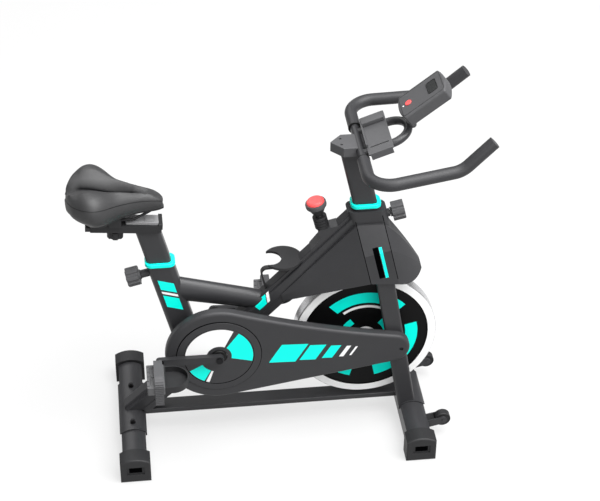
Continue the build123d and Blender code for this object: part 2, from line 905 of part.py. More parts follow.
for side, name in ((-1, "right_crank_arm"), (1, "left_crank_arm")):
    tip_x, tip_z = crank_tips[side]
    with BuildPart() as crank_arm:
        with BuildSketch(side_plane(0, side * (crank_inner_y + crank_thick / 2), 0)) as arm_outline:
            with Locations((bracket_x, bracket_z)):
                Circle(crank_hub_radius)
            with Locations((tip_x, tip_z)):
                Circle(crank_tip_radius)
            make_hull()
        extrude(amount=crank_thick / 2, both=True)
        with BuildSketch(bracket_plane.offset(-side * crank_inner_y)):
            Circle(crank_hub_radius)
        extrude(amount=side * crank_boss_depth)
        with BuildSketch(bracket_plane):
            Circle(crank_axle_radius + run_gap / 2)
        extrude(amount=-side * 2 * crank_inner_y, mode=Mode.SUBTRACT)
        with BuildSketch(side_plane(tip_x, 0, tip_z)):
            Circle(spindle_radius + run_gap / 2)
        extrude(amount=-side * 2 * crank_inner_y, mode=Mode.SUBTRACT)
    save(crank_arm, name)

with BuildPart() as pedal_spindles:
    for side in (-1, 1):
        tip_x, tip_z = crank_tips[side]
        with BuildSketch(side_plane(tip_x, side * crank_inner_y, tip_z)):
            Circle(spindle_radius)
        extrude(amount=-side * (pedal_outer_y - crank_inner_y))
        with BuildSketch(side_plane(tip_x, side * (crank_inner_y + crank_thick + slide_gap), tip_z)):
            Circle(pedal_barrel_radius)
        extrude(amount=-side * (crank_thick / 2))
save(pedal_spindles, "pedal_spindles")

pedal_mid_y = (pedal_inner_y + pedal_outer_y) / 2
pedal_width = pedal_outer_y - pedal_inner_y
for side, hand in ((-1, "right"), (1, "left")):
    tip_x, tip_z = crank_tips[side]
    with BuildPart() as pedal:
        with BuildSketch(Plane(origin=(tip_x, side * pedal_mid_y, tip_z - pedal_half_height))):
            with Locations(((pedal_front - pedal_back) / 2, 0)):
                RectangleRounded(pedal_front + pedal_back, pedal_width, pedal_round)
            with Locations((-pedal_back + pedal_front + window_length / 2, window_width / 2 + pedal_round),
                           (-pedal_back + pedal_front + window_length / 2, -window_width / 2 - pedal_round)):
                RectangleRounded(window_length, window_width, pedal_round, mode=Mode.SUBTRACT)
        extrude(amount=2 * pedal_half_height)
        with BuildSketch(side_plane(tip_x, 0, tip_z)):
            Circle(spindle_radius + run_gap)
        extrude(amount=-side * 2 * pedal_outer_y, mode=Mode.SUBTRACT)
        with BuildSketch(Plane(origin=(tip_x, side * pedal_mid_y, tip_z + pedal_half_height))):
            with GridLocations(pedal_front + pedal_round, pedal_width / 5, 1, 5):
                with Locations((-pedal_back + pedal_round, 0)):
                    Rectangle(2 * pedal_round, pedal_round)
        extrude(amount=-pedal_round / 2, mode=Mode.SUBTRACT)
    save(pedal, f"{hand}_pedal")

    with BuildPart() as toe_tray:
        tray_plane = Plane(origin=(tip_x, side * pedal_mid_y, tip_z - pedal_half_height))
        tray_half = pedal_width / 2 - tray_inset
        for inset, lift, mode in ((0, 0, Mode.ADD), (tray_wall, tray_floor, Mode.SUBTRACT)):
            with BuildSketch(tray_plane.offset(lift)):
                with BuildLine():
                    back = pedal_front + fit_gap + inset
                    Polyline((tray_straight, tray_half - inset), (back, tray_half - inset),
                             (back, inset - tray_half), (tray_straight, inset - tray_half))
                    ThreePointArc((tray_straight, inset - tray_half), (tray_front - inset, 0),
                                  (tray_straight, tray_half - inset))
                make_face()
            extrude(amount=tray_rim, mode=mode)
    save(toe_tray, f"{hand}_toe_tray")

    with BuildPart() as toe_strap:
        strap_in = pedal_inner_y - slide_gap - strap_thick / 2
        strap_out = pedal_outer_y + slide_gap + strap_thick / 2
        with BuildSketch(Plane(origin=(tip_x + strap_mid, 0, tip_z), x_dir=(0, side, 0), z_dir=(side, 0, 0))):
            with BuildLine() as strap_path:
                FilletPolyline((strap_in, strap_inner_low), (strap_in, strap_rise), (strap_out, strap_rise),
                               (strap_out, strap_tail_low), radius=strap_corner)
            trace(strap_path.edges(), strap_thick)
        extrude(amount=strap_width / 2, both=True)
    save(toe_strap, f"{hand}_toe_strap")


def cover_section(inset):
    """Belt cover outline: a round lobe and a small nose joined by a hollow top and a straight base."""
    lobe = cover_lobe_radius - inset
    nose = cover_nose_radius - inset
    hollow = cover_hollow_radius + inset
    run_x = cover_nose_x - bracket_x
    run_z = cover_nose_z - bracket_z
    run = hypot(run_x, run_z)
    turn = atan2(run_z, run_x)
    along = ((lobe + hollow) ** 2 - (nose + hollow) ** 2 + run ** 2) / (2 * run)
    across = sqrt((lobe + hollow) ** 2 - along ** 2)
    hollow_x = bracket_x + along * cos(turn) - across * sin(turn)
    hollow_z = bracket_z + along * sin(turn) + across * cos(turn)
    lobe_top = atan2(hollow_z - bracket_z, hollow_x - bracket_x)
    nose_top = atan2(hollow_z - cover_nose_z, hollow_x - cover_nose_x)
    low = turn - atan2(sqrt(run ** 2 - (lobe - nose) ** 2), lobe - nose)
    top_turn = (lobe_top + nose_top) / 2
    lobe_back = (lobe_top + low) / 2 + radians(180)
    nose_front = (nose_top + low) / 2

    def spot(x, z, radius, angle):
        return (x + radius * cos(angle), z + radius * sin(angle))

    with BuildSketch() as section:
        with BuildLine():
            ThreePointArc(spot(bracket_x, bracket_z, lobe, lobe_top), spot(bracket_x, bracket_z, lobe, lobe_back),
                          spot(bracket_x, bracket_z, lobe, low))
            Line(spot(bracket_x, bracket_z, lobe, low), spot(cover_nose_x, cover_nose_z, nose, low))
            ThreePointArc(spot(cover_nose_x, cover_nose_z, nose, low),
                          spot(cover_nose_x, cover_nose_z, nose, nose_front),
                          spot(cover_nose_x, cover_nose_z, nose, nose_top))
            ThreePointArc(spot(cover_nose_x, cover_nose_z, nose, nose_top),
                          spot(hollow_x, hollow_z, -hollow, top_turn),
                          spot(bracket_x, bracket_z, lobe, lobe_top))
        make_face()
    return section.sketch


cover_open_y = cover_back_y + cover_back_thick + fit_gap

with BuildPart() as cover_void:
    with BuildSketch(side_plane(0, -cover_open_y, 0)):
        add(cover_section(cover_wall))
    extrude(amount=cover_face_y - cover_wall - cover_open_y)
    fillet(cover_void.faces().sort_by(Axis.Y)[0].edges(), cover_round - cover_wall)

with BuildPart() as belt_cover_outer:
    with BuildSketch(side_plane(0, -cover_open_y, 0)):
        add(cover_section(0))
    extrude(amount=cover_face_y - cover_open_y)
    fillet(belt_cover_outer.faces().sort_by(Axis.Y)[0].edges(), cover_round)
    add(cover_void.part, mode=Mode.SUBTRACT)
    with BuildSketch(bracket_plane.offset(cover_face_y)):
        Circle(ring_outer_radius)
        Circle(ring_inner_radius, mode=Mode.SUBTRACT)
    extrude(amount=ring_rise)
    fillet(belt_cover_outer.faces().sort_by(Axis.Y)[0].edges(), ring_rise / 3)
    with BuildSketch(bracket_plane.offset(cover_open_y)):
        Circle(cover_shell_hole_radius)
    extrude(amount=cover_face_y, mode=Mode.SUBTRACT)
    with BuildSketch(side_plane(cover_screw_x, -cover_face_y + cover_wall / 2, cover_screw_z)):
        Circle(cover_cup_radius)
    extrude(amount=-cover_cup_depth - cover_wall / 2)
    with BuildSketch(side_plane(cover_screw_x, -cover_face_y, cover_screw_z)):
        Circle(cover_screw_head_radius + slide_gap)
    extrude(amount=-cover_cup_depth, mode=Mode.SUBTRACT)
    with BuildSketch(side_plane(cover_screw_x, 0, cover_screw_z)):
        Circle(cover_screw_radius + slide_gap)
    extrude(amount=2 * cover_face_y, mode=Mode.SUBTRACT)
save(belt_cover_outer, "belt_cover_outer")

with BuildPart() as belt_cover_inner:
    with BuildSketch(side_plane(0, -cover_back_y, 0)):
        add(cover_section(0))
        with Locations((bracket_x, bracket_z)):
            Circle(shell_radius, mode=Mode.SUBTRACT)
        with Locations((wheel_x, wheel_z)):
            Circle(wheel_axle_radius + 2 * cover_wall, mode=Mode.SUBTRACT)
    extrude(amount=cover_back_thick)
    with BuildSketch(side_plane(0, -cover_back_y, 0)):
        with Locations(*standoff_spots):
            Circle(standoff_radius)
    extrude(amount=beam_width / 2 + fit_gap - cover_back_y)
    with BuildSketch(side_plane(cover_screw_x, -cover_back_y, cover_screw_z)):
        Circle(standoff_radius)
    extrude(amount=cover_face_y - cover_wall - cover_cup_depth - cover_boss_gap - cover_back_y)
    with BuildSketch(side_plane(cover_screw_x, -cover_back_y, cover_screw_z)):
        Circle(cover_screw_radius + run_gap / 2)
    extrude(amount=cover_face_y, mode=Mode.SUBTRACT)
save(belt_cover_inner, "belt_cover_inner")

with BuildPart() as cover_disc:
    with BuildSketch(bracket_plane.offset(cover_face_y + fit_gap)):
        Circle(disc_radius)
        Circle(cover_hole_radius, mode=Mode.SUBTRACT)
    extrude(amount=disc_thick)
    fillet(cover_disc.faces().sort_by(Axis.Y)[0].edges(), disc_dish)
save(cover_disc, "cover_disc")


def shroud_plane(u):
    """Plane across the head shroud at the given distance ahead of the head tube axis."""
    return Plane(origin=head_plane.from_local_coords((u, 0, 0)), x_dir=(0, 1, 0), z_dir=head_plane.x_dir)


def shroud_form(inset, deepen):
    """Solid form of the head shroud, drawn in by inset and deepened below."""
    with BuildPart() as form:
        for first, last, straight in ((0, 3, True), (2, 5, False)):
            for u, bottom, middle, top in shroud_stations[first:last]:
                reach = u - inset if u == shroud_stations[-1][0] else u
                with BuildSketch(shroud_plane(reach)):
                    with BuildLine():
                        outline = ((bottom[1] - inset, bottom[0] - deepen), (middle[1] - inset, middle[0] - inset),
                                   (top[1] - inset, top[0] - inset))
                        Polyline(*outline, *[(-half, w) for half, w in reversed(outline)], close=True)
                    make_face()
            loft(ruled=straight)
    return form.part


def neck_form(inset):
    """Upright block around the head tube with a level top, drawn in by inset."""
    with BuildPart() as form:
        with BuildSketch(head_plane.offset(-neck_low)):
            RectangleRounded(neck_depth - 2 * inset, neck_width - 2 * inset, neck_corner - inset)
        extrude(amount=neck_low + neck_depth)
        split(bisect_by=Plane.XY.offset(head_z - neck_top - inset), keep=Keep.BOTTOM)
    return form.part


with BuildPart() as head_shroud:
    add(shroud_form(0, 0))
    add(neck_form(0))
    add(shroud_form(shroud_wall, 4 * shroud_wall), mode=Mode.SUBTRACT)
    add(neck_form(shroud_wall), mode=Mode.SUBTRACT)
    with BuildSketch(head_plane.offset(tube_depth)):
        add(tube_section(slide_gap))
    extrude(amount=-2 * head_tube_length - tube_depth, mode=Mode.SUBTRACT)
    with BuildSketch(beam_plane):
        add(beam_section(shroud_beam_gap))
    extrude(amount=beam_reach, mode=Mode.SUBTRACT)
    with BuildSketch(head_pin_plane.offset(tube_depth / 2)):
        Circle(pin_boss_radius + slide_gap)
    extrude(amount=3 * pin_knob_length, mode=Mode.SUBTRACT)
    with BuildSketch(Plane.XZ):
        Rectangle(4 * foot_spacing, 4 * foot_spacing)
    extrude(amount=fit_gap / 2, both=True, mode=Mode.SUBTRACT)
save(head_shroud, "head_shroud")

with BuildPart() as bottle_holder:
    with BuildSketch(Plane.XY.offset(holder_z - holder_thick / 2)):
        with Locations((holder_outer_x, 0)):
            Circle(holder_outer_radius)
        with Locations((holder_inner_x, 0)):
            Circle(holder_inner_radius, mode=Mode.SUBTRACT)
    extrude(amount=holder_thick)
    with BuildSketch(Plane.XZ):
        with BuildLine() as holder_path:
            FilletPolyline((holder_strap_low_x, holder_strap_low_z), (holder_strap_bend_x, holder_strap_bend_z),
                           (holder_strap_end_x, holder_strap_end_z), radius=3 * holder_strap_thick)
        trace(holder_path.edges(), holder_strap_thick)
        with Locations((holder_strap_end_x - holder_strap_width / 2, (holder_z + holder_strap_end_z) / 2)):
            Rectangle(holder_strap_thick, holder_z - holder_strap_end_z)
    extrude(amount=holder_strap_width / 2, both=True)
    with BuildSketch(beam_plane.offset(-mitre_spare)):
        add(beam_section(fit_gap))
        with Locations((beam_depth + holder_outer_radius, 0)):
            Rectangle(2 * holder_outer_radius, 4 * holder_outer_radius)
    extrude(amount=beam_reach, mode=Mode.SUBTRACT)
save(bottle_holder, "bottle_holder")

with BuildPart() as tension_sleeve:
    with BuildSketch(tension_plane.offset(fit_gap)):
        Circle(sleeve_radius)
        Circle(rod_radius + run_gap, mode=Mode.SUBTRACT)
    extrude(amount=sleeve_height)
    chamfer(tension_sleeve.faces().sort_by(Axis(tension_plane.origin, tension_plane.z_dir))[-1].edges(), sleeve_chamfer)
    for step in range(sleeve_grooves):
        with BuildSketch(tension_plane.offset(sleeve_height * (step + 1) / (sleeve_grooves + 1))):
            Circle(2 * sleeve_radius)
            Circle(sleeve_radius - sleeve_groove, mode=Mode.SUBTRACT)
        extrude(amount=sleeve_groove, mode=Mode.SUBTRACT)
save(tension_sleeve, "tension_sleeve")

shoe_point = tension_plane.from_local_coords((0, 0, -rod_reach))
shoe_turn = degrees(atan2(shoe_point.Z - wheel_z, shoe_point.X - wheel_x))


def rim_sector(inner, outer):
    """Arc-shaped piece of the ring around the flywheel under the brake rod."""
    spots = [[(wheel_x + r * cos(radians(shoe_turn + turn)), wheel_z + r * sin(radians(shoe_turn + turn)))
              for turn in (-pad_half_angle, 0, pad_half_angle)] for r in (inner, outer)]
    with BuildSketch() as sector:
        with BuildLine():
            ThreePointArc(*spots[0])
            Line(spots[0][2], spots[1][2])
            ThreePointArc(spots[1][2], spots[1][1], spots[1][0])
            Line(spots[1][0], spots[0][0])
        make_face()
    return sector.sketch


with BuildPart() as brake_rod:
    with BuildSketch(tension_plane.offset(-rod_reach)):
        Circle(rod_radius)
    extrude(amount=rod_reach + rod_top)
    with BuildSketch(Plane.XZ):
        add(rim_sector(pad_outer_radius + fit_gap, shoe_outer_radius))
    extrude(amount=pad_half_width, both=True)
save(brake_rod, "brake_rod")

with BuildPart() as brake_pad:
    with BuildSketch(Plane.XZ):
        add(rim_sector(pad_inner_radius, pad_outer_radius))
    extrude(amount=pad_half_width, both=True)
save(brake_pad, "brake_pad")

with BuildPart() as tension_knob:
    with BuildSketch(tension_plane.offset(knob_low)):
        Circle(knob_foot_radius)
    with BuildSketch(tension_plane.offset(knob_top - knob_rim)):
        Circle(knob_radius)
    with BuildSketch(tension_plane.offset(knob_top)):
        Circle(knob_radius)
    loft(ruled=True)
    with BuildSketch(tension_plane.offset(knob_low)):
        with PolarLocations(knob_radius + knob_flute_radius / 3, knob_flutes):
            Circle(knob_flute_radius)
    extrude(amount=knob_top - knob_low, mode=Mode.SUBTRACT)
    with BuildSketch(tension_plane.offset(knob_low)):
        Circle(rod_radius + run_gap)
    extrude(amount=rod_top + slide_gap - knob_low, mode=Mode.SUBTRACT)
save(tension_knob, "tension_knob")

with BuildPart() as tension_knob_cap:
    with BuildSketch(tension_plane.offset(knob_top + fit_gap)):
        Circle(cap_disc_radius)
    extrude(amount=cap_disc_height)
    fillet(tension_knob_cap.edges().filter_by(GeomType.CIRCLE).sort_by(Axis.Z)[-1], cap_disc_round)
save(tension_knob_cap, "tension_knob_cap")

for name, plane in (("seat_pin", seat_pin_plane), ("head_pin", head_pin_plane)):
    with BuildPart() as pin:
        pin_tip = post_depth / 2 + pin_tip_gap
        knob_start = tube_depth / 2 + pin_boss_length + pin_knob_gap
        with BuildSketch(plane.offset(pin_tip)):
            Circle(pin_radius)
        extrude(amount=knob_start - pin_tip + pin_knob_neck)
        with BuildSketch(plane.offset(knob_start)):
            Circle(pin_knob_neck_radius)
        extrude(amount=pin_knob_neck)
        with BuildSketch(plane.offset(knob_start + pin_knob_neck)):
            Circle(pin_knob_radius)
            with PolarLocations(pin_knob_radius + pin_flute_radius / 3, pin_flutes):
                Circle(pin_flute_radius, mode=Mode.SUBTRACT)
        extrude(amount=pin_knob_length - pin_knob_neck)
        chamfer(pin.faces().sort_by(Axis(plane.origin, plane.z_dir))[-1].edges(), pin_knob_gap)
    save(pin, name)


def cross_plane(u):
    """Plane across the seat slide at the given place along it."""
    return Plane(origin=slide_plane.from_local_coords((u, 0, 0)), x_dir=(0, 1, 0), z_dir=slide_plane.x_dir)


with BuildPart() as seat_post:
    with BuildSketch(seat_plane.offset(-seat_post_length)):
        add(post_section())
        add(post_section(-post_wall), mode=Mode.SUBTRACT)
    extrude(amount=2 * seat_post_length)
    split(bisect_by=slide_plane.offset(post_wall / 2), keep=Keep.BOTTOM)
    for step in range(post_hole_count):
        hole_plane = pin_plane(seat_plane, seat_pin_drop + step * post_hole_pitch, -1)
        with BuildSketch(hole_plane):
            Circle(post_hole_radius)
        extrude(amount=post_depth, mode=Mode.SUBTRACT)
    with BuildSketch(cross_plane(-slide_back)):
        with Locations((0, slide_height - slide_flange / 2)):
            Rectangle(2 * slide_half, slide_flange)
        with Locations((0, (slide_height - slide_flange) / 2)):
            Rectangle(2 * slide_stem_half, slide_height - slide_flange)
    extrude(amount=slide_back + slide_front)
    with BuildSketch(slide_plane.offset(-post_wall)):
        with Locations((slide_lock_u + (slide_travel_front - slide_travel_back) / 2, 0)):
            SlotCenterToCenter(slide_travel_front + slide_travel_back, 2 * (lock_radius + slide_gap))
    extrude(amount=2 * slide_height, mode=Mode.SUBTRACT)
save(seat_post, "seat_post")

carriage_low = slide_height - slide_flange - slide_gap - carriage_lip
with BuildPart() as seat_carriage:
    with BuildSketch(cross_plane(-carriage_back)):
        with Locations((0, (carriage_low + carriage_top) / 2)):
            Rectangle(2 * carriage_half, carriage_top - carriage_low)
        with Locations((0, slide_height - slide_flange / 2)):
            Rectangle(2 * (slide_half + slide_gap), slide_flange + 2 * slide_gap, mode=Mode.SUBTRACT)
        with Locations((0, carriage_low)):
            Rectangle(2 * (slide_stem_half + slide_gap), 2 * (slide_height - slide_flange - carriage_low),
                      mode=Mode.SUBTRACT)
    extrude(amount=carriage_back + carriage_front)
    with BuildSketch(cross_plane(carriage_front)):
        with Locations((0, (slide_height + slide_gap + carriage_top + cover_strip_height) / 2)):
            RectangleRounded(2 * carriage_half, carriage_top + cover_strip_height - slide_height - slide_gap,
                             carriage_lip / 2)
    extrude(amount=carriage_cap)
    with BuildSketch(Plane.XY.offset(clamp_top)):
        with Locations((clamp_x, 0)):
            RectangleRounded(clamp_length, 2 * clamp_half, carriage_lip)
    extrude(amount=-clamp_depth)
    with BuildSketch(Plane.YZ.offset(clamp_x - clamp_length)):
        with Locations((wire_half, wire_z), (-wire_half, wire_z)):
            Circle(saddle_wire_radius + run_gap)
    extrude(amount=2 * clamp_length, mode=Mode.SUBTRACT)
    with BuildSketch(slide_plane):
        with Locations((slide_lock_u, 0)):
            Circle(lock_radius + run_gap)
    extrude(amount=carriage_top - slide_gap, mode=Mode.SUBTRACT)
save(seat_carriage, "seat_carriage")

with BuildPart() as carriage_cover:
    with BuildSketch(slide_plane.offset(carriage_top + fit_gap)):
        with Locations(((carriage_front - fit_gap - cover_strip_back) / 2, 0)):
            RectangleRounded(carriage_front - fit_gap + cover_strip_back, 2 * cover_strip_half, carriage_lip)
    extrude(amount=cover_strip_height)
    with BuildSketch(slide_plane.offset(carriage_top + fit_gap + cover_strip_height)):
        with Locations((carriage_front - cover_clip_length, 0)):
            RectangleRounded(cover_clip_length, cover_clip_length, carriage_lip)
    extrude(amount=cover_clip_height)
save(carriage_cover, "carriage_cover")

with BuildPart() as slide_knob:
    with BuildSketch(slide_plane.offset(-lock_knob_gap)):
        with Locations((slide_lock_u, 0)):
            Circle(lock_knob_radius)
    extrude(amount=-lock_knob_height)
    with BuildSketch(slide_plane.offset(-lock_knob_gap - lock_knob_height)):
        with Locations((slide_lock_u, 0)):
            with PolarLocations(lock_knob_radius + lock_flute_radius / 2, lock_flutes):
                Circle(lock_flute_radius)
    extrude(amount=lock_knob_height, mode=Mode.SUBTRACT)
    with BuildSketch(slide_plane.offset(-lock_knob_gap - lock_knob_height / 2)):
        with Locations((slide_lock_u, 0)):
            Circle(lock_radius)
    extrude(amount=lock_knob_gap + lock_knob_height / 2 + carriage_top - 2 * slide_gap)
save(slide_knob, "slide_knob")

shell_low = saddle_base - fit_gap - saddle_shell_thick
wire_end_z = shell_low - saddle_wire_radius - fit_gap
with BuildPart() as saddle_rails:
    for side in (-1, 1):
        with BuildLine() as wire_path:
            FilletPolyline((wire_front_x, side * wire_front_half, wire_end_z), (wire_bend_front_x, side * wire_half, wire_z),
                           (wire_bend_rear_x, side * wire_half, wire_z),
                           (wire_rear_x, side * wire_rear_half, wire_end_z), radius=wire_radius)
        with BuildSketch(Plane(origin=wire_path.line @ 0, z_dir=wire_path.line % 0)):
            Circle(saddle_wire_radius)
        sweep(path=wire_path.line)
save(saddle_rails, "saddle_rails")

with BuildPart() as saddle_shell:
    with BuildSketch(Plane.XY.offset(shell_low)):
        with BuildLine():
            shell_edge = [(station[0], station[-1] - saddle_shell_inset) for station in saddle_stations]
            Spline(*shell_edge)
            Spline(*[(x, -half) for x, half in shell_edge])
            Line(shell_edge[0], (shell_edge[0][0], -shell_edge[0][1]))
            Line(shell_edge[-1], (shell_edge[-1][0], -shell_edge[-1][1]))
        make_face()
    extrude(amount=saddle_shell_thick)
save(saddle_shell, "saddle_shell")

with BuildPart() as saddle_cushion:
    for x, ridge_z, ridge_half, trough_z, wide_half, wide_z, base_half in saddle_stations:
        with BuildSketch(Plane.YZ.offset(x)):
            with BuildLine():
                Line((-base_half, saddle_base), (base_half, saddle_base))
                ThreePointArc((base_half, saddle_base), (wide_half, wide_z), (ridge_half, ridge_z))
                ThreePointArc((ridge_half, ridge_z), (0, trough_z), (-ridge_half, ridge_z))
                ThreePointArc((-ridge_half, ridge_z), (-wide_half, wide_z), (-base_half, saddle_base))
            make_face()
    loft()
save(saddle_cushion, "saddle_cushion")

with BuildPart() as handlebar_post:
    with BuildSketch(head_plane.offset(-head_post_length)):
        add(post_section())
        add(post_section(-post_wall), mode=Mode.SUBTRACT)
    extrude(amount=head_post_length + stem_low)
    split(bisect_by=Plane.XY.offset(stem_low - fit_gap), keep=Keep.BOTTOM)
    for step in range(head_hole_count):
        hole_plane = pin_plane(head_plane, head_pin_drop + step * post_hole_pitch, 1)
        with BuildSketch(hole_plane):
            Circle(post_hole_radius)
        extrude(amount=post_depth, mode=Mode.SUBTRACT)
save(handlebar_post, "handlebar_post")

with BuildPart() as stem_head:
    with BuildSketch(Plane.XY.offset(stem_low)):
        with BuildLine():
            Polyline((stem_apex_x, 0), (stem_shoulder_x, -stem_half), (stem_front_x, -stem_half),
                     (stem_front_x, stem_half), (stem_shoulder_x, stem_half), close=True)
        make_face()
    extrude(amount=stem_top - stem_low)
    fillet(stem_head.edges().filter_by(Axis.Z), stem_round)
    fillet(stem_head.faces().sort_by(Axis.Z)[-1].edges(), stem_round / 2)
    stem_w = (stem_low - head_z) / cos(radians(head_lean))
    with BuildSketch(head_plane.offset(stem_w - stem_plug)):
        add(post_section(-post_wall - fit_gap))
    extrude(amount=stem_plug + stem_plug / 2)
    with BuildSketch(side_plane(bar_x, 0, bar_z)):
        Circle(bar_radius + fit_gap)
    extrude(amount=2 * stem_half, both=True, mode=Mode.SUBTRACT)
    with BuildSketch(Plane.XY.offset(stem_top)):
        with Locations((stem_screw_x, stem_screw_y), (stem_screw_x, -stem_screw_y)):
            Circle(stem_screw_radius)
    extrude(amount=-2 * stem_screw_radius, mode=Mode.SUBTRACT)
save(stem_head, "stem_head")


def bar_points(side, trim):
    """Corners of one handlebar arm from the middle outward, ending short of the tip by trim."""
    run = Vector(bar_tip_x - bar_front_x, side * (bar_tip_y - bar_front_y), bar_tip_z - bar_front_z)
    tip = Vector(bar_tip_x, side * bar_tip_y, bar_tip_z) - run.normalized() * trim
    return [(bar_x, side * bar_corner_y, bar_z), (bar_front_x, side * bar_front_y, bar_front_z), tuple(tip)]


def bar_form(radius, trim):
    """Full handlebar as a round bar of the given radius."""
    with BuildPart() as form:
        with BuildLine() as path:
            FilletPolyline(*reversed(bar_points(-1, trim)), *bar_points(1, trim), radius=bar_bend)
        with BuildSketch(Plane(origin=path.line @ 0, z_dir=path.line % 0)):
            Circle(radius)
        sweep(path=path.line)
    return form.part


with BuildPart() as handlebar:
    add(bar_form(bar_radius, grip_end_wall))
    add(bar_form(bar_radius - bar_wall, grip_end_wall), mode=Mode.SUBTRACT)
save(handlebar, "handlebar")

with BuildPart() as foam_grips:
    for side in (-1, 1):
        with BuildLine() as grip_path:
            FilletPolyline((bar_x, side * grip_start_y, bar_z), *bar_points(side, 0), radius=bar_bend)
        with BuildSketch(Plane(origin=grip_path.line @ 0, z_dir=grip_path.line % 0)):
            Circle(grip_radius)
        sweep(path=grip_path.line)
    add(bar_form(bar_radius + fit_gap, grip_end_wall - fit_gap), mode=Mode.SUBTRACT)
save(foam_grips, "foam_grips")


def loop_form(radius):
    """Console loop as a round bar of the given radius."""
    with BuildPart() as form:
        with BuildLine(loop_plane) as path:
            Line((0, -loop_half), (loop_leg, -loop_half))
            ThreePointArc((loop_leg, -loop_half), (loop_leg + loop_half, 0), (loop_leg, loop_half))
            Line((loop_leg, loop_half), (0, loop_half))
        with BuildSketch(Plane(origin=path.line @ 0, z_dir=path.line % 0)):
            Circle(radius)
        sweep(path=path.line)
    return form.part


with BuildPart() as console_loop:
    add(loop_form(loop_radius))
    add(loop_form(loop_radius - loop_wall), mode=Mode.SUBTRACT)
    with BuildSketch(side_plane(bar_x, 0, bar_z)):
        Circle(bar_radius + fit_gap)
    extrude(amount=2 * loop_half, both=True, mode=Mode.SUBTRACT)
save(console_loop, "console_loop")

with BuildPart() as device_cradle:
    cradle_mid = (cradle_start + cradle_end) / 2
    with BuildSketch(loop_plane.offset(loop_radius + slide_gap)):
        with Locations((cradle_mid, 0)):
            RectangleRounded(cradle_end - cradle_start, 2 * cradle_wing, cradle_thick)
        with Locations((cradle_mid, cradle_slot), (cradle_mid, -cradle_slot)):
            SlotOverall(cradle_end - cradle_start - 4 * cradle_thick, cradle_slot_width, mode=Mode.SUBTRACT)
    extrude(amount=cradle_thick)
    with BuildSketch(loop_plane.offset(loop_radius + slide_gap + cradle_thick)):
        with Locations((cradle_mid, cradle_wing - cradle_thick / 2), (cradle_mid, cradle_thick / 2 - cradle_wing)):
            Rectangle(cradle_end - cradle_start - 2 * cradle_thick, cradle_thick)
    extrude(amount=-cradle_skirt)
    with BuildSketch(loop_plane.offset(loop_radius + slide_gap)):
        with Locations((cradle_start + cradle_thick / 2, 0)):
            Rectangle(cradle_thick, 2 * cradle_half)
    extrude(amount=cradle_thick + cradle_lip)
save(device_cradle, "device_cradle")

with BuildPart() as console_housing:
    with BuildSketch(console_plane):
        with BuildLine():
            end_x = console_length / 2 - console_bulge
            half_y = console_width / 2
            Line((-end_x, half_y), (end_x, half_y))
            ThreePointArc((end_x, half_y), (console_length / 2, 0), (end_x, -half_y))
            Line((end_x, -half_y), (-end_x, -half_y))
            ThreePointArc((-end_x, -half_y), (-console_length / 2, 0), (-end_x, half_y))
        make_face()
    extrude(amount=-console_depth)
    fillet(console_housing.edges(), console_round)
    with BuildSketch(console_plane):
        with Locations((lens_offset, 0)):
            RectangleRounded(lens_length, lens_width, console_round)
        with Locations((button_offset, 0)):
            Circle(button_radius + slide_gap)
    extrude(amount=-lens_depth - fit_gap, mode=Mode.SUBTRACT)
    with BuildSketch(console_plane):
        with Locations((button_offset, 0)):
            Circle(button_radius + slide_gap)
    extrude(amount=-button_well, mode=Mode.SUBTRACT)
    with BuildSketch(Plane.XY.offset(neck_base_z)):
        with Locations((neck_x, 0)):
            Circle(console_neck_radius)
    extrude(amount=neck_rise)
    add(loop_form(loop_radius + fit_gap), mode=Mode.SUBTRACT)
save(console_housing, "console_housing")

with BuildPart() as console_lens:
    with BuildSketch(console_plane.offset(-lens_depth)):
        with Locations((lens_offset, 0)):
            RectangleRounded(lens_length - 2 * fit_gap, lens_width - 2 * fit_gap, console_round - fit_gap)
    extrude(amount=lens_depth - fit_gap)
save(console_lens, "console_lens")

with BuildPart() as console_button:
    with BuildSketch(console_plane.offset(button_rise)):
        with Locations((button_offset, 0)):
            Circle(button_radius)
    extrude(amount=-button_rise - button_well / 2)
    fillet(console_button.edges().filter_by(GeomType.CIRCLE).sort_by(Axis.Z)[-1], button_rise / 2)
save(console_button, "console_button")

for side, name in ((-1, "right_transport_wheel"), (1, "left_transport_wheel")):
    with BuildPart() as roller:
        with BuildSketch(Plane(origin=(roller_x, side * roller_y, roller_z))):
            with BuildLine():
                half = roller_width / 2
                bore = roller_pin_radius + run_gap
                Polyline((bore, half), (roller_hub_radius, half), (roller_hub_radius + roller_step, half - roller_step),
                         (roller_radius - 2 * roller_step, half - roller_step), (roller_radius - roller_step, half),
                         (roller_radius, half - roller_step), (roller_radius, roller_step - half),
                         (roller_radius - roller_step, -half), (roller_radius - 2 * roller_step, roller_step - half),
                         (roller_hub_radius + roller_step, roller_step - half), (roller_hub_radius, -half),
                         (bore, -half), close=True)
            make_face()
        revolve(axis=Axis((roller_x, side * roller_y, roller_z), (0, 1, 0)))
    save(roller, name)

